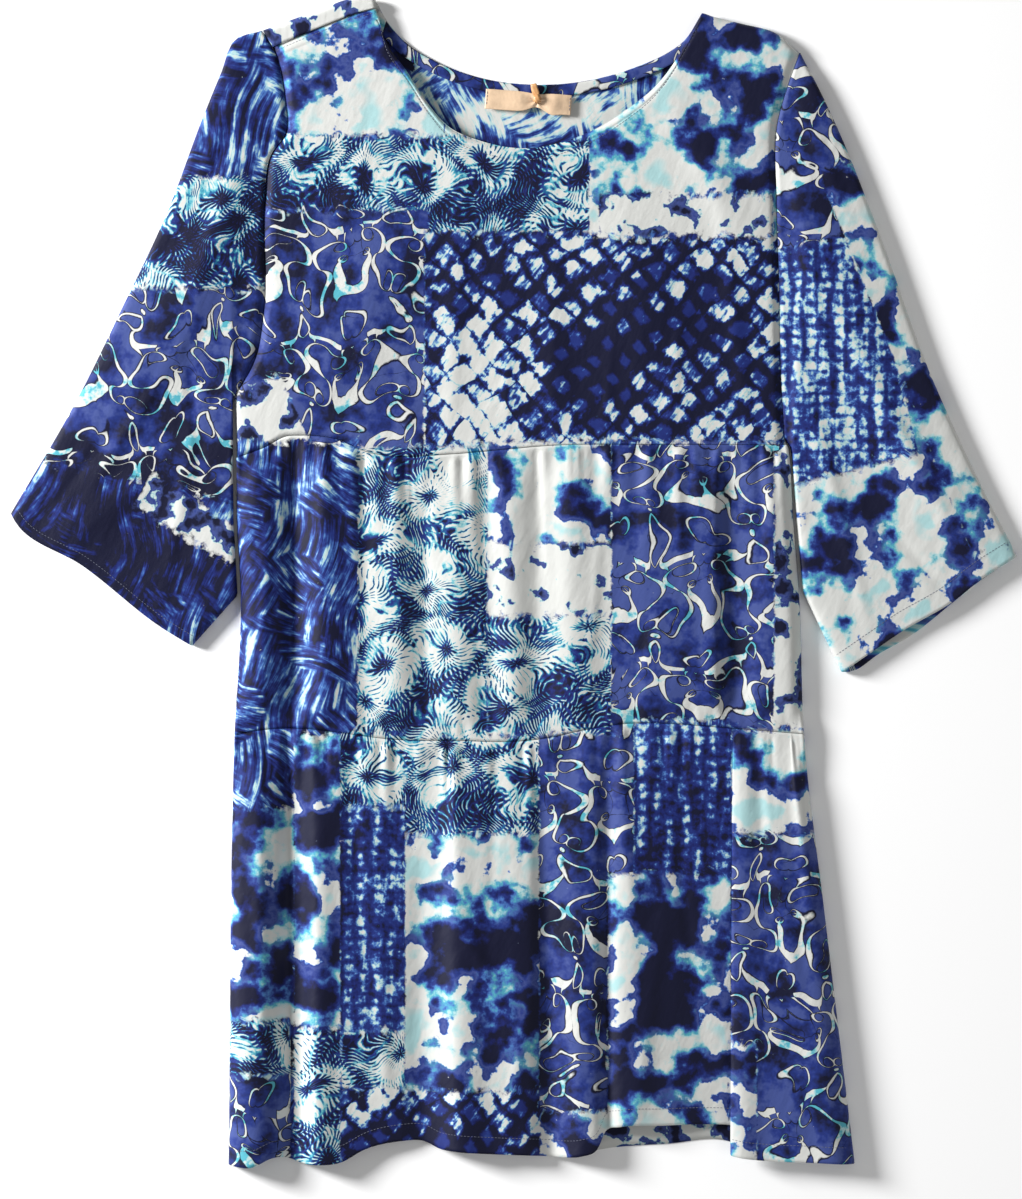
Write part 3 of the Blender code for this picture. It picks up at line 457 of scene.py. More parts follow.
def dressed(made, colour, height, roughness, shine):
    """The material with this colour, and with the shading of this height in millimetres."""
    shader = made.node_tree.nodes["Principled BSDF"]
    bump = height.node("ShaderNodeBump", None, {"Strength": 1.0, "Distance": MM, "Height": height})
    made.node_tree.links.new(colour.socket, shader.inputs["Base Color"])
    made.node_tree.links.new(bump.socket, shader.inputs["Normal"])
    shader.inputs["Roughness"].default_value = roughness
    shader.inputs["Specular IOR Level"].default_value = shine
    return made


def printed_viscose():
    """The cloth's colour from its patches, its weave, and the faint wrinkles that it keeps."""
    made = bpy.data.materials.new("Printed viscose")
    made.use_nodes = True
    place = place_on_cloth(made)
    patch = {kind: place.node("ShaderNodeAttribute", {"attribute_name": kind}, output=2)
             for kind in (*KINDS, "tone")}
    grain = Grain(place.noise(3.0, 3.0, 0.6) - 0.5, place.noise(11, 3.0, 0.6) - 0.5,
                  place.noise(30, 4.0, 0.6) - 0.5, patch["tone"])
    colour = PRINTS[KINDS[0]](place, grain)
    for kind in KINDS[1:]:
        outside = grain.medium * 1.2 + grain.fine * 0.5 - patch[kind]
        colour = outside.under(-0.5, 0.25).pick(colour, PRINTS[kind](place, grain))
    along, across = place.stretched(2 * np.pi / WEAVE_PITCH, 2 * np.pi / WEAVE_PITCH).across_and_up()
    wrinkles = place.turned(25).stretched(1, 0.45).noise(16, 3.0, 0.5)
    height = along.math("SINE") * across.math("SINE") * WEAVE_HEIGHT + wrinkles * WRINKLE_HEIGHT
    return dressed(made, colour, height, roughness=0.62, shine=0.22)


PRINTED_VISCOSE = printed_viscose()


# Back bodice
# One flat panel of printed viscose under the front. It turns over the left shoulder and meets the
# front in a seam that lies forward of the shoulder.
SHELL = 0.6
BACK_Z = 0.35
RIM_Z = 0.85
RIM_INSET = 0.75
SEAM_GAP = 0.3
SEAM_Z = 8.6
BODICE_Z = 9.0
LEFT_ARMHOLE = ((-189, 414), (-181, 401), (-172, 363), (-171.5, 336), (-182, 321), (-187, 286),
                (-188, 204), (-195, 166), (-210, 139))
LEFT_SIDE = ((-210, 139), (-208.5, 93), (-208.5, 46), (-205.5, -8), (-210, -115), (-214.5, -436.5))
RIGHT_ARMHOLE = ((214.5, 397.5), (205, 371), (198, 346), (197, 286), (199, 220), (200, 163),
                 (203, 106.5))
RIGHT_SIDE = ((203, 106.5), (205.6, 102), (206.6, 96), (210, 46), (214.5, -13), (218, -115),
              (234, -253), (256, -436))
LEFT_SHOULDER_FOLD = ((-189, 414), (-153, 427), (-113, 438.8), (-104, 437.5))
LEFT_SHOULDER_SEAM = ((-181, 401), (-145, 416), (-113, 428), (-103.5, 430.5))
RIGHT_SHOULDER = ((141, 427), (169.5, 420), (196.5, 412.5), (214.5, 397.5))
BACK_NECK = ((-104, 437.5), (-97, 424), (-82, 406), (-58, 391), (-25, 379), (12, 374), (53, 376.5),
             (94, 388), (115, 397.5), (127, 406), (141, 427))
UPPER_SEAM = ((-208.5, 93), (-187, 101), (-170, 109.5), (-160, 110), (-132, 107), (-108, 97),
              (-97, 95), (-46, 96), (-11, 99), (22, 102), (117, 103), (206, 103))
ARMHOLE_SHARES = (0, 0.053, 0.14, 0.225, 0.30, 0.39, 0.50, 0.63, 0.76, 0.885, 1)
FINER = 5
BACK_COLUMNS = (24, 60, 20)


def smoothstep(low, high, value):
    """0 below low, 1 above high, and a soft step between."""
    share = np.clip((value - low) / (high - low), 0, 1)
    return share * share * (3 - 2 * share)


def spline(at, values, where):
    """A cubic through the values, with each slope taken from the stretches on both sides."""
    at, values = np.asarray(at, float), np.asarray(values, float)
    gap = np.diff(at)[:, None]
    slope = np.diff(values, axis=0) / gap
    tangent = np.empty_like(values)
    tangent[0], tangent[-1] = slope[0], slope[-1]
    tangent[1:-1] = (slope[:-1] * gap[1:] + slope[1:] * gap[:-1]) / (gap[1:] + gap[:-1])
    i = np.clip(np.searchsorted(at, where, side="right") - 1, 0, len(at) - 2)
    t = ((where - at[i]) / gap[i, 0])[..., None]
    square, cube = t * t, t * t * t
    return ((2 * cube - 3 * square + 1) * values[i] + (cube - 2 * square + t) * tangent[i] * gap[i]
            + (3 * square - 2 * cube) * values[i + 1] + (cube - square) * tangent[i + 1] * gap[i])


def unit(vectors):
    """The same directions, each with a length of 1."""
    return vectors / np.maximum(np.linalg.norm(vectors, axis=-1, keepdims=True), 1e-9)


def lengths_along(points):
    """How far along a line each of its points is."""
    return np.concatenate([[0], np.cumsum(np.linalg.norm(np.diff(points, axis=0), axis=-1))])


def on_line(points, along, where):
    """The places on a line of points, whose distances along it are known, at other distances."""
    return np.stack([np.interp(where, along, column) for column in points.T], axis=-1)


class Edge:
    """A smooth plan line through a few points, or several such lines end to end."""

    def __init__(self, *stretches, smooth=True):
        lines = [self.sampled(np.array(points, float)) if smooth else points for points in stretches]
        self.points = np.concatenate(lines)
        self.along = lengths_along(self.points)
        self.length = self.along[-1]

    @staticmethod
    def sampled(points):
        along = lengths_along(points)
        return spline(along, points, np.linspace(0, along[-1], int(along[-1]) + 2))

    def by_length(self, share):
        return on_line(self.points, self.along, share * self.length)

    def by_width(self, share):
        x = self.points[0, 0] + share * (self.points[-1, 0] - self.points[0, 0])
        return np.stack([x, self.y_at(x)], axis=-1)

    def y_at(self, x):
        return np.interp(x, self.points[:, 0], self.points[:, 1])

    def x_at(self, y):
        return np.interp(-y, -self.points[:, 1], self.points[:, 0])

    def cut(self, start_y, end_y):
        """The part of a line down the body between two heights."""
        y = self.points[:, 1]
        kept = self.points[(y < start_y - 0.5) & (y > end_y + 0.5)]
        ends = [[[self.x_at(level), level]] for level in (start_y, end_y)]
        return Edge(np.concatenate([ends[0], kept, ends[1]]), smooth=False)

    def moved_left(self, distance):
        """The line moved sideways, to the left of its own direction."""
        step = unit(np.gradient(self.points, axis=0))
        return Edge(self.points + np.stack([-step[:, 1], step[:, 0]], axis=1) * distance, smooth=False)


def between(top, bottom, left, right, u, v):
    """Plan points of a panel from its four edges, u across it and v down it."""
    u, v = np.broadcast_arrays(u, v)
    across, down = u[..., None], v[..., None]
    zero, one = np.zeros(1), np.ones(1)
    corners = ((1 - across) * (1 - down) * top(zero) + across * (1 - down) * top(one)
               + (1 - across) * down * bottom(zero) + across * down * bottom(one))
    return ((1 - down) * top(u) + down * bottom(u) + (1 - across) * left(v) + across * right(v)
            - corners)


class Rails:
    """The two sides of a bodice, with paired stations, so that a row runs from one to the other."""

    def __init__(self, left, right):
        self.sides = left, right
        along = [lengths_along(side) for side in self.sides]
        self.length = along[0][-1]
        self.rows = sum(one / one[-1] for one in along) / 2

    def on(self, side, share):
        return on_line(self.sides[side], self.rows, share)

    def left(self, share):
        return self.on(0, share)

    def right(self, share):
        return self.on(1, share)


def bodice_sides():
    """Stations down both sides of the back bodice: the armhole, then the side to the upper seam."""
    count = len(ARMHOLE_SHARES) - 1
    shares = np.interp(np.linspace(0, count, count * FINER + 1), range(count + 1), ARMHOLE_SHARES)
    sides = []
    for hole, side, seam_end in ((LEFT_ARMHOLE, LEFT_SIDE, UPPER_SEAM[0]),
                                 (RIGHT_ARMHOLE, RIGHT_SIDE, UPPER_SEAM[-1])):
        low = Edge(side).cut(side[0][1], seam_end[1])
        down = np.arange(1, 2 * FINER + 1) / (2 * FINER)
        sides.append(np.concatenate([Edge(hole).by_length(shares), low.by_length(down)]))
    return sides


def with_height(plan, height):
    return np.concatenate([plan, np.broadcast_to(height, plan.shape[:-1])[..., None]], axis=-1)


def grid_faces(rows, columns, first=0, ring=False):
    """Faces of a grid of points stored row by row; a ring joins its last column to its first."""
    i, j = np.meshgrid(np.arange(rows - 1), np.arange(columns if ring else columns - 1), indexing="ij")
    a, b = first + i * columns + j, first + i * columns + (j + 1) % columns
    return np.stack([a, a + columns, b + columns, b], axis=-1).reshape(-1, 4).tolist()


def add_piece(name, points, faces, finish):
    """A smooth mesh that rides on the top's one body."""
    mesh = bpy.data.meshes.new(name)
    mesh.from_pydata((points * MM).tolist(), [], faces)
    mesh.shade_smooth()
    mesh.materials.append(finish)
    piece = bpy.data.objects.new(name, mesh)
    bpy.context.scene.collection.objects.link(piece)
    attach(piece, "root")
    return piece


def cloth(name, points, faces, print_at, patches=BODY_PATCHES, finish=PRINTED_VISCOSE,
          wall=SHELL):
    """A thin shell that stands for the CAD node of the same name, with its print's coordinates."""
    piece = add_piece(name + "_cloth", points, faces, finish)
    mesh = piece.data
    corners = np.array([loop.vertex_index for loop in mesh.loops])
    layer = mesh.uv_layers.new(name="Print")
    layer.data.foreach_set("uv", (print_at[corners] * MM).ravel())
    for kind, values in patch_fields(patches, *print_at.T).items():
        mesh.attributes.new(kind, "FLOAT", "POINT").data.foreach_set("value", values)
    thicken = piece.modifiers.new("Cloth", "SOLIDIFY")
    thicken.thickness = wall * MM
    thicken.offset = 0
    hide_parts(name)
    return piece


# Each row of a table of creases is x, y, half length, half width, angle and height
BACK_CREASES = (
    (-90, 250, 90, 9, 100, 0.7), (60, 230, 110, 12, 84, 0.8), (-20, 150, 60, 8, 60, 0.5),
    (130, 180, 80, 10, 110, 0.7), (-120, -40, 60, 9, 85, 0.7), (-60, -20, 80, 7, 95, 0.6),
    (10, -30, 70, 10, 88, 0.8), (90, -30, 80, 8, 93, 0.6), (160, -20, 60, 9, 80, 0.7),
    (-150, -260, 130, 13, 92, 0.9), (-80, -290, 120, 10, 84, 0.8), (-10, -250, 140, 14, 91, 0.9),
    (70, -280, 130, 11, 96, 0.8), (150, -260, 130, 14, 101, 0.9),
)


def back_columns():
    """The shares of the width at which every back panel has its columns."""
    stretches = (LEFT_SHOULDER_FOLD, BACK_NECK, RIGHT_SHOULDER)
    x = np.concatenate([Edge(stretch).by_length(np.arange(n) / n)[:, 0]
                        for stretch, n in zip(stretches, BACK_COLUMNS)] + [[RIGHT_SHOULDER[-1][0]]])
    return (x - x[0]) / (x[-1] - x[0])


def back_height(plan, shares):
    """A back panel rests on the table and lifts off it a little along its creases."""
    near_side = smoothstep(0, 0.06, shares) * smoothstep(0, 0.06, 1 - shares)
    return BACK_Z + soft_marks(BACK_CREASES, plan[..., 0], plan[..., 1]) * near_side


rails = Rails(*bodice_sides())
top = Edge(LEFT_SHOULDER_FOLD, BACK_NECK, RIGHT_SHOULDER)
inset = SEAM_GAP / 2 / (top.points[-1, 0] - top.points[0, 0])
u, v = np.meshgrid(np.clip(back_columns(), inset, 1 - inset), rails.rows)
v[-1] = 1 - SEAM_GAP / 2 / rails.length
back_plan = between(top.by_width, Edge(UPPER_SEAM).by_width, rails.left, rails.right, u, v)
turned = BACK_COLUMNS[0] + 1
radius = (SEAM_Z - BACK_Z) / 2
fold = back_plan[0, :turned].copy()
seam_line = Edge(LEFT_SHOULDER_SEAM).by_length(np.linspace(0, 1, turned))
seam_line[0, 0] += SEAM_GAP
fold[0, 0] += SEAM_GAP
toward = unit(seam_line - fold)
back_plan[0, :turned] = fold + toward * (radius + SHELL / 2)
start = back_plan[0, :turned]
seam_end = seam_line - toward * SEAM_GAP
turn_rows = [with_height(start * (1 - share) + seam_end * share, SEAM_Z)
             for share in (1, 0.8, 0.6, 0.4, 0.2)]
turn_rows += [with_height(start - toward * radius * np.sin(angle), BACK_Z + radius * (1 - np.cos(angle)))
              for angle in np.radians(np.arange(180, 0, -12))]
turn_reach = lengths_along(np.array([row[turned // 2] for row in turn_rows[::-1]]))[::-1]
back_points = with_height(back_plan, back_height(back_plan, u)).reshape(-1, 3)
last = u.size + (len(turn_rows) - 1) * turned
joint = [(last + j, j, j + 1, last + j + 1) for j in range(turned - 1)]
back_faces = grid_faces(*u.shape) + grid_faces(len(turn_rows), turned, first=u.size) + joint
turn_print = [fold + (0, reach) for reach in turn_reach]
back_print = np.concatenate([back_plan.reshape(-1, 2)] + turn_print) * (-1, 1)
back_bodice = cloth("back_bodice", np.concatenate([back_points] + turn_rows), back_faces, back_print,
                    BACK_PATCHES)


# Back tiers
# Two panels of printed viscose below the back bodice, which lie flat but for their creases. The lower one
# ends at the hem, which shows below the front's where the front is shorter.
LOWER_SEAM = ((-210, -115), (-189, -111), (-157, -110), (-134, -112.5), (-91, -118), (-44, -119),
              (9, -119), (31, -116), (46, -112.5), (88, -106), (121, -106.5), (155, -109), (218, -114))
BACK_HEM = ((-214.5, -435), (-179, -427), (-130, -426), (-85, -415.5), (-55, -420), (5, -425),
            (60, -426), (73, -424), (115, -421), (161, -419), (184, -431), (214, -434), (256, -435))


def back_tier(name, top_seam, low_seam, start, end, rows):
    """A back panel below the bodice, flat on the table but for its creases."""
    left, right = (Edge(side).cut(a[1], b[1]) for side, a, b in zip((LEFT_SIDE, RIGHT_SIDE), start, end))
    lift = np.array([0, SEAM_GAP / 2]) if low_seam is LOWER_SEAM else 0
    u, v = np.meshgrid(back_columns(), np.linspace(0, 1, rows))
    plan = between(Edge(top_seam).by_width, lambda share: Edge(low_seam).by_width(share) + lift,
                   left.by_length, right.by_length, u, v)
    plan[0] = Edge(top_seam).by_width(back_columns()) - np.array([0, SEAM_GAP / 2])
    points = with_height(plan, back_height(plan, u)).reshape(-1, 3)
    return cloth(name, points, grid_faces(*u.shape), plan.reshape(-1, 2) * (-1, 1), BACK_PATCHES)


upper_ends, lower_ends = (UPPER_SEAM[0], UPPER_SEAM[-1]), (LOWER_SEAM[0], LOWER_SEAM[-1])
back_middle = back_tier("back_middle_tier", UPPER_SEAM, LOWER_SEAM, upper_ends, lower_ends, 30)
back_bottom = back_tier("back_bottom_tier", LOWER_SEAM, BACK_HEM, lower_ends,
                        (LEFT_SIDE[-1], RIGHT_SIDE[-1]), 44)


# Front bodice
# The front panel of printed viscose, from the shoulders and the stitched neck down to the gathered
# tier. It rolls down to the back at its sides and stands a little above the sleeves at the armholes.
FRONT_NECK = ((-103.5, 430.5), (-97, 407), (-81, 384), (-64.5, 359), (-48, 341), (-25, 331),
              (10, 325.5), (32, 329), (56, 337.5), (85, 355), (105, 371), (124, 396), (130, 407),
              (141, 427))
CLOSED_INSET = (RIM_INSET, RIM_INSET, 2.0, 4.6, 9.0)
CLOSED_RISE = (0.0, 0.45, 0.78, 0.95, 1.0)
OPEN_INSET = (0.15, 1.2, 3.4, 6.0, 10.0)
ARMHOLE_RISE = (0.62, 0.63, 0.80, 0.95, 1.0)
NECK_RISE = (0.80, 0.81, 0.91, 0.98, 1.0)
ROLL_AT = np.linspace(0, 4, 17)
UNDERARM_LEFT_Y = 139
UNDERARM_RIGHT_Y = 106
FRONT_COLUMN = 2.2
FIRST_ROW = 0.042
CLOSEST_COLUMNS = 0.35
PRINT_ROUND_SIDE = 7.0
STITCH_INSET = 9.3
STITCH_GROOVE = 0.05
STITCH_GROOVE_HALF = 0.9
BODICE_CREASES = (
    (-110, 215, 70, 32, 62, 3.2), (95, 210, 75, 36, 105, 3.0), (-150, 140, 60, 12, 38, 2.0),
    (-45, 200, 110, 9, 88, 1.3), (30, 170, 80, 11, 92, 1.2), (150, 300, 60, 14, 118, 1.8),
    (-140, 250, 70, 5, 68, 0.8), (-80, 130, 40, 4, 98, 0.7), (120, 150, 50, 5, 84, 0.7),
    (165, 200, 90, 6, 97, 1.0), (0, 290, 40, 8, 12, 0.6), (-5, 140, 36, 3.5, 90, 0.6),
    (70, 135, 34, 3.5, 86, 0.6), (-120, 120, 26, 3.5, 96, 0.5),
)


def finer_roll(values):
    return spline(range(len(values)), np.array(values)[:, None], ROLL_AT)[:, 0]


def roll(closed, opened, openness):
    """The roll's lines for each row or column, between a closed edge's and an open one's."""
    closed, opened = finer_roll(closed), finer_roll(opened)
    return closed + (opened - closed) * np.asarray(openness)[..., None]


left_side, right_side = bodice_sides()
station = np.arange(len(left_side), dtype=float)
station = np.where(station < 2 * FINER, FINER + station / 2, station)
left_side = on_line(left_side, range(len(left_side)), station)
rails = Rails(left_side, right_side)
top = Edge(LEFT_SHOULDER_SEAM, FRONT_NECK, RIGHT_SHOULDER)
seam = Edge(UPPER_SEAM)
width = seam.points[-1, 0] - seam.points[0, 0]
lines = len(ROLL_AT)
steep = np.concatenate([np.arange(-104, -70, 0.8), np.arange(100, 141.5, 0.8)])
inner = np.unique(np.concatenate([np.arange(-194, 192, FRONT_COLUMN), steep]).round(2))
inner = (inner[np.append(np.diff(inner) > CLOSEST_COLUMNS, True)] - seam.points[0, 0]) / width
down = np.concatenate([np.zeros(lines), rails.rows[rails.rows > FIRST_ROW]])
left_open = smoothstep(UNDERARM_LEFT_Y - 8, UNDERARM_LEFT_Y, rails.left(down)[:, 1])
right_open = smoothstep(UNDERARM_RIGHT_Y - 2, UNDERARM_RIGHT_Y, rails.right(down)[:, 1])
u = np.concatenate([roll(CLOSED_INSET, OPEN_INSET, left_open) / width,
                    np.repeat(inner[None, :], len(down), axis=0),
                    1 - roll(CLOSED_INSET, OPEN_INSET, right_open)[:, ::-1] / width], axis=1)
top_open = 1 - smoothstep(0, 12, top.by_width(u[lines])[:, 0] - RIGHT_SHOULDER[0][0])
v = np.repeat(down[:, None], u.shape[1], axis=1)
v[:lines] = roll(CLOSED_INSET, OPEN_INSET, top_open).T / rails.length
v[-1] = 1 - SEAM_GAP / 2 / rails.length
plan = between(top.by_width, seam.by_width, rails.left, rails.right, u, v)
rise = np.ones_like(u)
rise[:, :lines] *= roll(CLOSED_RISE, ARMHOLE_RISE, left_open)
rise[:, -lines:] *= roll(CLOSED_RISE, ARMHOLE_RISE, right_open)[:, ::-1]
rise[:lines] *= roll(CLOSED_RISE, NECK_RISE, top_open).T
groove = np.exp(-((v * rails.length - STITCH_INSET) / STITCH_GROOVE_HALF) ** 2)
rise -= STITCH_GROOVE * groove * (v < 0.05) * top_open
height = BODICE_Z + soft_marks(BODICE_CREASES, plan[..., 0], plan[..., 1])
height += (SEAM_Z - height) * smoothstep(0.86, 1, v)
front_z = RIM_Z + (height - RIM_Z) * rise
print_x = plan[..., 0].copy()
print_x[:, :lines] -= (1 - rise[:, :lines]) * PRINT_ROUND_SIDE * (1 - left_open)[:, None]
print_x[:, -lines:] += (1 - rise[:, -lines:]) * PRINT_ROUND_SIDE * (1 - right_open)[:, None]
front_print = np.stack([print_x, plan[..., 1]], axis=-1).reshape(-1, 2)
front_points = with_height(plan, front_z)
front_bodice = cloth("front_bodice", front_points.reshape(-1, 3), grid_faces(*u.shape), front_print)


# Front tiers
# Two panels of printed viscose, each gathered into the seam above. Their folds fall from the
# gathers, and the lower one is folded over itself near the side seam.
Fold = namedtuple("Fold", "name top_x low_x top_z low_z low_y spread", defaults=(0.0, 1.0))
MIDDLE_FOLDS = (
    Fold("left seam", -207.8, -209.3, RIM_Z, RIM_Z),
    Fold("left wall", -207.8, -209.3, 5.2, 5.2),
    Fold("left roll", -204.5, -206.0, 8.8, 9.2),
    Fold("side ridge", -189.0, -191.0, 12.0, 14.0),
    Fold("ridge falls", -175.0, -177.0, 9.5, 10.0),
    Fold("deep trough", -166.5, -167.0, 4.4, 3.4),
    Fold("trough foot", -161.5, -161.0, 5.4, 4.6),
    Fold("second ridge", -145.5, -146.0, 12.0, 13.5),
    Fold("shallow", -112.0, -110.0, 8.6, 9.0),
    Fold("third ridge", -87.0, -87.0, 11.0, 12.0),
    Fold("long trough", -70.5, -64.0, 8.2, 6.9),
    Fold("fourth ridge", -43.0, -41.0, 11.0, 12.0),
    Fold("middle trough", -20.0, -18.0, 7.9, 7.6),
    Fold("fifth ridge", -2.0, 0.0, 10.8, 11.6),
    Fold("narrow trough", 16.0, 17.0, 7.8, 7.2),
    Fold("sixth ridge", 41.0, 43.0, 11.0, 12.0),
    Fold("wide dip", 73.0, 74.0, 8.8, 8.4),
    Fold("seventh ridge", 108.0, 106.0, 11.0, 12.2),
    Fold("before the edge", 136.0, 139.0, 11.0, 12.0),
    Fold("lit edge", 149.5, 151.5, 12.0, 13.2),
    Fold("edge foot", 156.0, 158.5, 7.6, 6.9),
    Fold("side flat", 180.0, 186.0, 9.6, 10.4),
    Fold("right roll", 201.8, 213.8, 8.8, 9.2),
    Fold("right wall", 205.3, 217.3, 5.2, 5.2),
    Fold("right seam", 205.3, 217.3, RIM_Z, RIM_Z),
)
BOTTOM_FOLDS = (
    Fold("left seam", -209.3, -213.8, RIM_Z, RIM_Z, -436.5),
    Fold("left wall", -209.3, -213.8, 5.2, 6.4, -436.7),
    Fold("left roll", -206.0, -210.2, 9.2, 12.2, -437.2),
    Fold("side ridge", -191.0, -198.0, 13.0, 17.5, -438.0),
    Fold("ridge falls", -178.0, -180.0, 10.0, 12.0, -431.0),
    Fold("deep trough", -168.0, -168.5, 3.6, 3.3, -432.0),
    Fold("trough foot", -162.0, -162.0, 4.8, 4.4, -434.5),
    Fold("second ridge", -147.0, -149.0, 12.0, 15.5, -436.0),
    Fold("ridge's far side", -131.0, -130.0, 10.0, 12.0, -434.5),
    Fold("flat", -106.5, -112.0, 9.2, 9.8, -425.0),
    Fold("step down", -84.0, -85.0, 8.8, 7.4, -419.0),
    Fold("grey trough", -67.0, -68.0, 6.9, 4.4, -419.0),
    Fold("step up", -54.5, -55.5, 8.5, 9.0, -424.5),
    Fold("lit ridge", -46.0, -44.0, 11.8, 16.0, -426.0),
    Fold("plateau", -18.0, -17.0, 10.2, 13.4, -428.0),
    Fold("plateau's end", 10.0, 11.0, 9.6, 12.0, -429.2),
    Fold("dark trough", 22.0, 28.0, 6.9, 4.6, -430.6),
    Fold("trough's far side", 31.0, 38.0, 8.6, 9.0, -431.0),
    Fold("blue ridge", 46.0, 51.0, 11.5, 15.0, -429.5),
    Fold("ridge's edge", 61.0, 62.0, 11.2, 13.5, -425.0),
    Fold("edge foot", 68.0, 69.0, 8.4, 7.6, -411.0),
    Fold("white lobe", 78.0, 79.0, 10.6, 12.0, -408.0),
    Fold("white slope", 108.0, 112.0, 9.8, 9.6, -407.0),
    Fold("slope's foot", 138.0, 145.0, 9.0, 5.2, -406.5),
    Fold("under the fold", 155.0, 164.0, 8.6, 4.1, -407.5, 0.5),
    Fold("deepest line", 158.0, 178.0, 8.5, 4.1, -411.0, 0.5),
    Fold("inner turn", 160.5, 184.5, 8.6, 6.3, -414.5, 0.5),
    Fold("coming back", 162.5, 178.0, 8.8, 8.7, -418.0, 0.5),
    Fold("back to the edge", 164.0, 167.5, 9.2, 9.2, -425.0, 0.5),
    Fold("knife edge", 165.5, 162.2, 9.8, 11.4, -429.0, 0.5),
    Fold("over the fold", 169.0, 167.0, 10.4, 13.8, -430.3),
    Fold("side panel", 184.5, 187.0, 10.2, 12.8, -433.0),
    Fold("soft wave", 203.0, 218.0, 10.4, 14.5, -434.2),
    Fold("right roll", 213.8, 251.6, 9.0, 11.0, -435.8),
    Fold("right wall", 217.3, 255.3, 5.2, 6.2, -436.0),
    Fold("right seam", 217.3, 255.3, RIM_Z, RIM_Z, -436.0),
)
TIER_COLUMN = 2.0
HEM_DEPTH = 12.0
HEM_GAP = 0.9
SIDE_PULL = 70.0
LOW_GATHER = 0.5
LOW_GATHER_LENGTH = 14.0
CREASES_START = (8, 26)
CROWDING = (0.45, 0.8)
RISE_BELOW_SEAM = 0.16
RISE_ABOVE_SEAM = 0.14
AT_SEAM = 0.03
Gather = namedtuple("Gather", "pitch height length phase")
GATHERS = (Gather(19.0, 1.1, 38.0, 0.0), Gather(9.5, 0.55, 20.0, 1.3), Gather(33.0, 0.6, 70.0, 2.1))
MIDDLE_CREASES = (
    (-187, -20, 80, 4, 88, 0.9), (-120, 40, 60, 4, 93, 0.8), (-66, 20, 90, 4, 90, -0.9),
    (-24, -30, 80, 3.5, 94, 0.8), (20, 50, 50, 3.5, 90, -0.7), (62, 10, 80, 4.5, 86, 0.9),
    (95, -50, 50, 4, 80, -0.7), (125, 30, 70, 4, 95, 0.8), (190, 0, 90, 6, 86, 1.2),
)
BOTTOM_CREASES = (
    (-190, -250, 120, 5, 91, 1.2), (-120, -200, 80, 5, 96, -1.0), (-98, -330, 90, 6, 92, 1.0),
    (-28, -280, 62, 6, 117, 1.6), (-15, -180, 60, 4, 88, -0.9), (3, -360, 70, 5, 80, 1.1),
    (84, -190, 70, 5, 93, 0.9), (100, -330, 90, 6, 82, 1.0), (128, -240, 90, 5, 97, -0.8),
    (205, -260, 130, 6, 99, 1.3), (186, -170, 50, 4, 92, -0.8), (232, -380, 60, 6, 100, 1.0),
)


def front_tier(folds, low_seam, rows, crease_table):
    """A gathered front tier: its folds at each row, joined by a smooth section."""
    top_x, low_x, top_z, low_z, low_y, spread = np.array([row[1:] for row in folds], float).T
    at = lengths_along(np.stack([low_x, low_z], axis=1))
    where = np.linspace(0, at[-1], int(at[-1] / TIER_COLUMN))
    top_seam = Edge(UPPER_SEAM if low_seam is not None else LOWER_SEAM)
    start_y = top_seam.y_at(spline(at, top_x[:, None], where)[:, 0]) - SEAM_GAP / 2
    if low_seam is None:
        end_y = spline(at, low_y[:, None], where)[:, 0]
    else:
        end_y = Edge(low_seam).y_at(spline(at, low_x[:, None], where)[:, 0]) + SEAM_GAP / 2
    edge_distance = np.minimum(where, at[-1] - where)
    inside = smoothstep(*CREASES_START, edge_distance)
    left_pull, right_pull = (1 - smoothstep(0, SIDE_PULL, distance) for distance in (where, at[-1] - where))
    crowd = smoothstep(*CROWDING, spline(at, np.gradient(top_x, at)[:, None], where)[:, 0])
    sections = []
    for v in rows:
        share = v ** spread
        x = top_x + (low_x - top_x) * share
        z = top_z + (low_z - top_z) * v
        rising = smoothstep(0, RISE_BELOW_SEAM, v)
        if low_seam is not None:
            rising *= smoothstep(0, RISE_ABOVE_SEAM, 1 - v)
        near_rim = smoothstep(0.5, 4.0, np.minimum(z, SEAM_Z) - RIM_Z)
        z = z + (SEAM_Z - z) * (1 - rising) * near_rim
        section = spline(at, np.stack([x, z], axis=1), where)
        y = start_y + (end_y - start_y) * v
        section[:, 0] += (Edge(LEFT_ARMHOLE, LEFT_SIDE).x_at(y[0]) - x[0] + RIM_INSET) * left_pull
        section[:, 0] += (Edge(RIGHT_ARMHOLE, RIGHT_SIDE).x_at(y[-1]) - x[-1] - RIM_INSET) * right_pull
        for row in GATHERS:
            phase = 2 * np.pi * where / row.pitch + row.phase
            wave = np.sin(phase + 1.3 * np.sin(phase * 0.31) + 0.8 * np.sin(phase * 0.17 + 1.0))
            drop = v * (start_y - end_y)
            fading = np.exp(-drop / row.length) * smoothstep(0, AT_SEAM, v)
            if low_seam is not None:
                above_seam = np.exp(-(start_y - end_y - drop) / LOW_GATHER_LENGTH)
                fading = fading + LOW_GATHER * above_seam * smoothstep(0, AT_SEAM, 1 - v)
            section[:, 1] += row.height * wave * fading * crowd * inside
        section[:, 1] += soft_marks(crease_table, section[:, 0], y) * inside * smoothstep(0, 0.1, v)
        sections.append(np.stack([section[:, 0], y, section[:, 1]], axis=1))
    return np.array(sections)


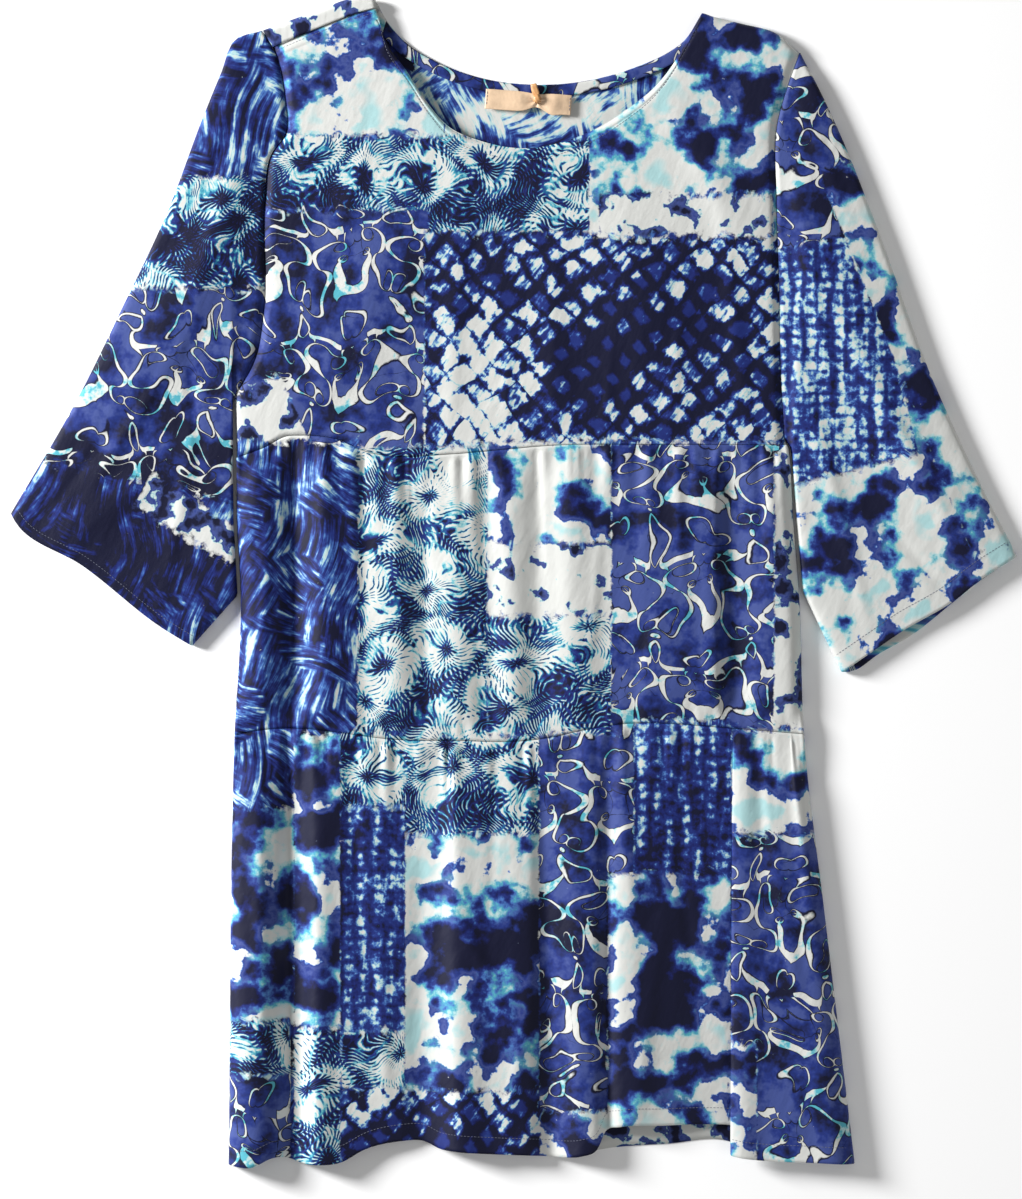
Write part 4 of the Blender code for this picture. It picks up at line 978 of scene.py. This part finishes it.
def side_print(points):
    """Print coordinates as seen from above, running on down the rolled sides."""
    across = points[..., 0].copy()
    drop = np.maximum(BODICE_Z - points[..., 2], 0)
    from_left = lengths_along_rows(points)
    from_right = from_left[:, -1:] - from_left
    across -= drop * smoothstep(16, 9, from_left)
    across += drop * smoothstep(16, 9, from_right)
    return np.stack([across, points[..., 1]], axis=-1).reshape(-1, 2)


def lengths_along_rows(points):
    steps = np.linalg.norm(np.diff(points, axis=1), axis=-1)
    return np.concatenate([np.zeros((len(points), 1)), np.cumsum(steps, axis=1)], axis=1)


def section_normals(points):
    """Upward normals of each row's section, across the body."""
    step = np.gradient(points, axis=1)
    return unit(np.stack([-step[..., 2], np.zeros_like(step[..., 0]), step[..., 0]], axis=-1))


def turned_in(points, normals, rows):
    """The sheet with its last rows turned back along its inside, as a hem."""
    inner = (points - normals * HEM_GAP)[-1 - rows:-1][::-1]
    outward = unit(points[-1] - points[-2])
    edge = points[-1] - normals[-1] * HEM_GAP / 2 + outward * HEM_GAP / 3
    under = points[-1] - normals[-1] * HEM_GAP
    return np.concatenate([points, edge[None], under[None], inner])


middle_rows = np.concatenate([np.linspace(0, 0.12, 14)[:-1], np.linspace(0.12, 0.88, 34),
                              np.linspace(0.88, 1, 12)[1:]])
middle_points = front_tier(MIDDLE_FOLDS, LOWER_SEAM, middle_rows, MIDDLE_CREASES)
front_middle = cloth("front_middle_tier", middle_points.reshape(-1, 3),
                     grid_faces(*middle_points.shape[:2]), side_print(middle_points))
bottom_rows = np.concatenate([np.linspace(0, 0.1, 16)[:-1], np.linspace(0.1, 0.9625, 62),
                              np.linspace(0.9625, 1, 7)[1:]])
bottom_points = front_tier(BOTTOM_FOLDS, None, bottom_rows, BOTTOM_CREASES)
up_from_hem = np.linalg.norm(np.diff(bottom_points, axis=0), axis=-1).mean(axis=1)[::-1].cumsum()
hem_rows = int(np.searchsorted(up_from_hem, HEM_DEPTH)) + 1
hemmed = turned_in(bottom_points, section_normals(bottom_points), hem_rows)
front_bottom = cloth("front_bottom_tier", hemmed.reshape(-1, 3), grid_faces(*hemmed.shape[:2]),
                     side_print(hemmed))


# Sleeves
# Each is cut in one flared piece of printed viscose, sewn into a tube under the arm and set into the
# armhole. It lies flat at the body's side, and its cuff is turned in and stitched.
LEFT_SLEEVE_TOP = ((-189, 414), (-209, 408), (-220.5, 382), (-232, 354), (-262, 275), (-295, 205),
                   (-329, 136), (-378, 52))
LEFT_SLEEVE_UNDER = ((-210.8, 138.7), (-210.6, 93), (-210.2, 46), (-207.2, -10), (-241, -48))
LEFT_CUFF = ((-378, 52), (-373, 44), (-324, 13), (-263, -34.5), (-241, -48))
RIGHT_SLEEVE_TOP = ((214.5, 397.5), (228, 373), (241, 346), (274, 264), (312, 159), (353, 69), (378, 20))
RIGHT_SLEEVE_UNDER = ((203.5, 106.3), (206.8, 101.3), (208.2, 94), (211.6, 46), (216.4, -7),
                      (245.5, -67.5))
RIGHT_CUFF = ((378, 20), (349, 1.5), (330, -13.5), (290, -37), (271, -50), (245.5, -67.5))
RIGHT_CUFF_BELOW = ((378, 20), (349, 0), (330, -15.5), (297, -42), (274, -55.5), (251, -70), (245, -70.5))
SLEEVE_ROLL = ((5.8, 0.0), (1.7, 0.07), (0.0, 0.36), (0.4, 0.66), (2.4, 0.90), (6.8, 1.0))
SLEEVE_Z = 8.5
ARMHOLE_REACH = 0.035
UNDERARM_REACH = 0.004
GROOVE_DEPTH = 2.2
GROOVE_LENGTH = 16.0
CUFF_ROWS = 10
PRINT_ROUND_TOP = 6.0
LEFT_SLEEVE_CREASES = (
    (-262, 190, 120, 22, 62, 3.0), (-300, 60, 60, 14, 40, 2.0), (-228, 250, 70, 9, 74, 1.6),
    (-285, 120, 80, 5, 58, 1.2), (-250, 60, 60, 5, 80, 1.0), (-240, 130, 50, 4, 96, -0.9),
    (-320, 90, 50, 4, 52, -0.8), (-225, 330, 40, 5, 70, 1.0),
)
RIGHT_SLEEVE_CREASES = (
    (262, 180, 130, 24, 112, 3.0), (320, 60, 60, 16, 128, 2.2), (232, 90, 60, 9, 104, 1.6),
    (285, 120, 90, 5, 118, 1.2), (250, 30, 60, 5, 104, 1.1), (300, 20, 40, 4, 132, -0.9),
    (228, 200, 80, 5, 100, 1.0), (232, 320, 40, 5, 112, 1.0),
)


def bend(edge, share):
    """How far an edge stands off the straight line between its ends."""
    return edge.by_length(share) - (edge.points[0] + (edge.points[-1] - edge.points[0]) * share[:, None])


def sleeve(hole, top_edge, under_edge, cuff, cuff_below, crease_table):
    """One sleeve, a flattened tube that is open at the armhole and at the cuff."""
    side = np.sign(top_edge[0][0])
    hole = Edge(hole).moved_left(side * SEAM_GAP / 2)
    outer = Edge(top_edge).moved_left(-side * RIM_INSET)
    inner = Edge(np.array(under_edge, float), smooth=False).moved_left(side * RIM_INSET)
    hole = Edge(np.concatenate([hole.points[:-1], inner.points[:1]]), smooth=False)
    cuff, cuff_below = Edge(cuff), Edge(cuff_below)
    roll_at = np.linspace(0, len(SLEEVE_ROLL) - 1, 16)
    inset, rise = spline(range(len(SLEEVE_ROLL)), np.array(SLEEVE_ROLL), roll_at).T
    inside = np.linspace(0.07, 0.93, 62)
    stations = np.concatenate([[0, 0.006, 0.012, 0.02, 0.03, 0.045, 0.06, 0.08],
                               np.linspace(0.1, 0.955, 60), np.linspace(0.965, 1, 7)])
    rings, prints = [], []
    for s in stations:
        start, end = outer.by_length(s), inner.by_length(s)
        reach = np.linalg.norm(end - start)
        near = inset / reach
        t = np.concatenate([near, inside, 1 - near[::-1], inside[::-1]])
        share = np.concatenate([rise, np.ones(len(inside)), rise[::-1], np.zeros(len(inside))])
        fading = np.exp(-s / (ARMHOLE_REACH * (1 - t) + UNDERARM_REACH))[:, None]
        first = outer.points[0] + (inner.points[0] - outer.points[0]) * t[:, None]
        plan = start + (end - start) * t[:, None] + (hole.by_length(t) - first) * fading
        lower = bend(cuff_below, t) + (bend(cuff, t) - bend(cuff_below, t)) * share[:, None]
        plan = plan + lower * s ** 4
        groove = GROOVE_DEPTH * np.exp(-(s * outer.length / GROOVE_LENGTH) ** 2)
        crease = soft_marks(crease_table, plan[:, 0], plan[:, 1])
        top_z = SLEEVE_Z - groove + crease
        z = BACK_Z + (top_z - BACK_Z) * share + np.maximum(-crease, 0) * 0.4 * (share == 0)
        rings.append(np.concatenate([plan, z[:, None]], axis=1))
        underside = np.arange(len(t)) >= 2 * len(inset) + len(inside)
        underside |= np.arange(len(t)) < 3
        mirrored = np.stack([start[0] * 2 - plan[:, 0], plan[:, 1]], axis=1)
        over = plan + (start - end) / reach * np.where(t < 0.5, (1 - share) * PRINT_ROUND_TOP, 0)[:, None]
        prints.append(np.where(underside[:, None], mirrored, over))
    return np.array(rings), np.array(prints)


def cuffed(rings, prints):
    """The tube with its last rings turned back inside it."""
    around = np.roll(rings, -1, axis=1) - np.roll(rings, 1, axis=1)
    normal = unit(np.cross(np.gradient(rings, axis=0), around))
    middle = rings.mean(axis=1, keepdims=True)
    normal *= np.sign(np.sum(normal * (rings - middle), axis=(1, 2)))[:, None, None]
    last = prints[-1:]
    return (turned_in(rings, normal, CUFF_ROWS),
            np.concatenate([prints, last, last, prints[-1 - CUFF_ROWS:-1][::-1]]))


def make_sleeve(name, patches, *shape):
    rings, prints = cuffed(*sleeve(*shape))
    return cloth(name, rings.reshape(-1, 3), grid_faces(*rings.shape[:2], ring=True),
                 prints.reshape(-1, 2), patches), rings


left_sleeve, left_rings = make_sleeve(
    "left_sleeve", LEFT_SLEEVE_PATCHES, LEFT_ARMHOLE, LEFT_SLEEVE_TOP, LEFT_SLEEVE_UNDER, LEFT_CUFF,
    LEFT_CUFF, LEFT_SLEEVE_CREASES)
right_sleeve, right_rings = make_sleeve(
    "right_sleeve", RIGHT_SLEEVE_PATCHES, RIGHT_ARMHOLE, RIGHT_SLEEVE_TOP, RIGHT_SLEEVE_UNDER,
    RIGHT_CUFF, RIGHT_CUFF_BELOW, RIGHT_SLEEVE_CREASES)


# Neck facing
# A narrow bias strip of the same viscose, sewn along the back neck and turned to the inside.
FACING_SHARES = np.linspace(0.03, 0.97, 110)
FACING_REACHES = np.array([0.5, 1.4, 3.2, 5.2, 7.2, 8.5, 9.0])
FACING_RISE = np.array([-0.25, 0.0, 0.12, 0.15, 0.12, 0.0, -0.3])
FACING_Z = 2.4
FACING_CLOTH = 0.5
FACING_PRINT_MOVE = (-150, -205)
FACING_PATCHES = (Patch("scrolls", -999, 999, 999, -999),)
neck_line = Edge(BACK_NECK).by_length(FACING_SHARES)
step = unit(np.gradient(neck_line, axis=0))
inward = np.stack([step[:, 1], -step[:, 0]], axis=1)
facing_plan = neck_line + inward * FACING_REACHES[:, None, None]
facing_points = with_height(facing_plan, FACING_Z + FACING_RISE[:, None])
facing = cloth("back_neck_facing", facing_points.reshape(-1, 3), grid_faces(*facing_plan.shape[:2]),
               facing_plan.reshape(-1, 2) + FACING_PRINT_MOVE, FACING_PATCHES,
               wall=FACING_CLOTH)


# Neck label
# A bare satin ribbon, sewn down inside the back neck, with a knotted ribbon loop that pinches it.
RIBBON_START = np.array([-21.5, 363.0])
RIBBON_END = np.array([43.0, 358.0])
RIBBON_HALF = 7.5
RIBBON_Z = 3.75
RIBBON_WALL = 0.35
KNOT_ALONG = 38.9
KNOT_ASIDE = 2.5
KNOT_Z = 6.2
PINCH = 0.34
PINCH_REACH = 7.5
PUCKERS = 11
# Each puff of the ribbon is its place past the knot, its reach and its height
PUFFS = ((-13, 9, 1.3), (12, 7, 1.5))
CHAMPAGNE = dye(244, 211, 176)
RIB_PITCH = 0.5
SATIN_ROUGHNESS = 0.34


def satin(name, colour):
    """Smooth woven ribbon, with fine ribs across it."""
    made = plain_material(name, colour[:3], SATIN_ROUGHNESS)
    place = place_on_cloth(made)
    across = place.across_and_up()[1]
    shade = place.noise(9, 2.0).ramp((0.35, colour), (0.65, (*(part * 0.86 for part in colour[:3]), 1)))
    ribs = (across * (2 * np.pi / RIB_PITCH)).math("SINE")
    height = ribs * WEAVE_HEIGHT + place.noise(5, 2.0) * 0.3
    return dressed(made, shade, height, SATIN_ROUGHNESS, shine=0.6)


# The knot and loop use the champagne satin darkened to copper: painted shade of the knot's deep folds.
SHADED_CHAMPAGNE = dye(220, 164, 108)
SATIN = satin("Champagne satin", CHAMPAGNE)
LOOP_SATIN = satin("Champagne satin with painted shade", SHADED_CHAMPAGNE)
ribbon_way = RIBBON_END - RIBBON_START
ribbon_length = np.linalg.norm(ribbon_way)
ribbon_way /= ribbon_length
ribbon_up = np.array([-ribbon_way[1], ribbon_way[0]])
a, b = np.meshgrid(np.linspace(0, ribbon_length, 76), np.linspace(1, -1, 22))
pinched = np.exp(-((a - KNOT_ALONG) / PINCH_REACH) ** 2)
knot_pull = KNOT_ASIDE * 0.55
half = RIBBON_HALF * (1 - PINCH * pinched)
aside = b * half + knot_pull * pinched
aside -= 1.3 * np.exp(-((a - KNOT_ALONG - 12) / 6) ** 2) * (1 - b) / 2
far = np.hypot(a - KNOT_ALONG, aside - knot_pull)
puckers = np.cos(np.arctan2(aside - knot_pull, a - KNOT_ALONG) * PUCKERS / 2) * np.exp(-far / 7)
ends = smoothstep(0, 4, a) * smoothstep(0, 4, ribbon_length - a)
puff = sum(high * np.exp(-((a - KNOT_ALONG - past) / reach) ** 2) for past, reach, high in PUFFS)
label_z = RIBBON_Z + (puff * (1 - b * b * 0.6) + 0.9 * puckers + 0.3) * ends
label_plan = RIBBON_START + a[..., None] * ribbon_way + aside[..., None] * ribbon_up
label = cloth("neck_label", with_height(label_plan, label_z).reshape(-1, 3), grid_faces(*a.shape),
              np.stack([a, aside], axis=-1).reshape(-1, 2), patches=(), finish=SATIN,
              wall=RIBBON_WALL)

# The knot's two crossing wraps, and the loop that rises over the neck's edge
KNOT_FLATNESS = 0.62
knot_middle = np.array([*(RIBBON_START + KNOT_ALONG * ribbon_way + KNOT_ASIDE * ribbon_up), KNOT_Z])
loop_points, loop_faces, loop_print = [], [], []
STRIP_POINTS = 5


def strip(middle, across, ring=False):
    """Adds a band of ribbon along a line of points, as wide as the vectors across it."""
    first = sum(len(part) for part in loop_points)
    shares = np.linspace(-1, 1, STRIP_POINTS)
    loop_points.append((middle[:, None] + across[:, None] * shares[None, :, None] / 2).reshape(-1, 3))
    print_across = (np.linalg.norm(across, axis=1)[:, None] * shares / 2).ravel()
    loop_print.append(np.stack([np.repeat(lengths_along(middle), STRIP_POINTS), print_across], axis=1))
    for row in range(len(middle) if ring else len(middle) - 1):
        here, onward = (first + at % len(middle) * STRIP_POINTS for at in (row, row + 1))
        loop_faces.extend((here + j, here + j + 1, onward + j + 1, onward + j)
                          for j in range(STRIP_POINTS - 1))


for heading, radius, width in ((24, 3.1, 3.6), (-58, 2.8, 3.0)):
    heading = np.radians(heading)
    way = np.array([np.cos(heading), np.sin(heading), 0])
    side = np.array([-np.sin(heading), np.cos(heading), 0])
    down = np.array([0, 0, -KNOT_FLATNESS])
    turn = np.linspace(0, 2 * np.pi, 22, endpoint=False)[:, None]
    wrap = knot_middle + side * radius * np.cos(turn) + down * radius * np.sin(turn)
    strip(wrap, np.repeat(way[None] * width, len(wrap), axis=0), ring=True)

# The loop is one narrow ribbon, folded back on itself past the neck's edge
LOOP_LINE = ((-0.3, 1.0, -0.7), (-1.5, 4.4, -0.9), (-2.5, 8.2, -1.0), (-2.9, 10.6, -0.9),
             (-3.0, 11.4, -0.3), (-2.6, 10.6, 0.3), (-1.9, 8.0, 0.4), (-0.4, 4.4, 0.4), (0.8, 1.3, 0.2))
LOOP_ACROSS = np.array([4.3, 0.9, 0.4])
LOOP_WALL = 0.4
loop_line = np.array(LOOP_LINE)
loop_reach = lengths_along(loop_line)[-1]
at = np.linspace(0, loop_reach, 36)
loop_line = knot_middle + spline(lengths_along(loop_line), loop_line, at)
widening = 0.5 + 0.5 * smoothstep(0, 5, at) * smoothstep(0, 5, loop_reach - at)
strip(loop_line, widening[:, None] * LOOP_ACROSS)
loop = cloth("label_loop", np.concatenate(loop_points), loop_faces, np.concatenate(loop_print), patches=(),
             finish=LOOP_SATIN, wall=LOOP_WALL)


# Stitches
# Short thread dashes along the neck, the left shoulder seam, the hem, the cuffs and the label's ends.
STITCH_PITCH = 2.6
STITCH_LENGTH = 1.9
THREAD = 0.2
THREAD_LIFT = 0.05
NECK_ENDS = (-104, 141)
SHOULDER_ENDS = (-180, -106)
SHOULDER_REACH = 3.2
HEM_COLUMNS = slice(6, -6)
CUFF_COLUMNS = slice(12, 84)
LEFT_CUFF_REACH = 6.5
RIGHT_CUFF_REACH = 13.0
LABEL_STITCH_HALF = 6.6
LABEL_STITCH_INSET = 1.2
THREAD_COLOUR = dye(112, 116, 136)
DASH = np.array([(-0.5, 0, 0)] + [(end, y, z) for end in (-0.36, 0.36) for y, z in
                                  ((1, 0), (0, 1), (-1, 0), (0, -1))] + [(0.5, 0, 0)])
QUARTERS = [(j, (j + 1) % 4) for j in range(4)]
DASH_FACES = ([(0, 1 + b, 1 + a) for a, b in QUARTERS] + [(9, 5 + a, 5 + b) for a, b in QUARTERS]
              + [(1 + a, 1 + b, 5 + b, 5 + a) for a, b in QUARTERS])
thread = plain_material("Sewing thread", THREAD_COLOUR[:3], 0.7)
thread_tree = thread.node_tree
strand = Value(thread_tree).node("ShaderNodeTexCoord", output=3).noise(0.0006, 2.0)
strand = strand.ramp((0.35, THREAD_COLOUR), (0.65, (*(part * 0.7 for part in THREAD_COLOUR[:3]), 1)))
thread_tree.links.new(strand.socket, thread_tree.nodes["Principled BSDF"].inputs["Base Color"])


def line_inside(points, reach):
    """The line on a sheet at this distance from its last row, one point for each column."""
    back = points[::-1]
    far = np.cumsum(np.linalg.norm(np.diff(back, axis=0, prepend=back[:1]), axis=-1), axis=0)
    return np.array([on_line(back[:, j], far[:, j], reach) for j in range(points.shape[1])])


def stitches(name, lines, lift=SHELL / 2 + THREAD_LIFT):
    """Rows of thread dashes that lie on the cloth along these lines."""
    points, faces = [], []
    for line in lines:
        along = lengths_along(line)
        starts = np.arange(1, along[-1] - STITCH_LENGTH, STITCH_PITCH)
        for start, end in zip(*(on_line(line, along, starts + more) for more in (0, STITCH_LENGTH))):
            way = unit(end - start)
            aside = np.cross((0, 0, 1), way)
            axes = np.array([way * STITCH_LENGTH, aside * THREAD, np.cross(way, aside) * THREAD])
            first = len(points) * len(DASH)
            points.append(DASH @ axes + (start + end) / 2 + (0, 0, lift))
            faces.extend(tuple(first + corner for corner in face) for face in DASH_FACES)
    add_piece(name, np.concatenate(points), faces, thread)


def below_top(reach, ends):
    """The line on the front bodice at this distance from its top edge, between two x."""
    top_x = front_points[0, :, 0]
    return line_inside(front_points[::-1], reach)[(top_x > ends[0]) & (top_x < ends[1])]


def above_cuff(rings, reach):
    """The line on a sleeve's upper side at this distance from its cuff."""
    return line_inside(rings[:-CUFF_ROWS - 2], reach)[CUFF_COLUMNS]


stitches("neck_stitches", [below_top(STITCH_INSET, NECK_ENDS)])
stitches("shoulder_stitches", [below_top(SHOULDER_REACH, SHOULDER_ENDS)])
stitches("hem_stitches", [line_inside(bottom_points, HEM_DEPTH)[HEM_COLUMNS]])
stitches("left_cuff_stitches", [above_cuff(left_rings, LEFT_CUFF_REACH)])
stitches("right_cuff_stitches", [above_cuff(right_rings, RIGHT_CUFF_REACH)])
across_label = np.array([[LABEL_STITCH_HALF], [-LABEL_STITCH_HALF]]) * ribbon_up
label_ends = [with_height(RIBBON_START + place * ribbon_way + across_label, RIBBON_Z + 0.1)
              for place in (LABEL_STITCH_INSET, ribbon_length - LABEL_STITCH_INSET)]
stitches("label_stitches", label_ends, lift=RIBBON_WALL / 2 + THREAD_LIFT)
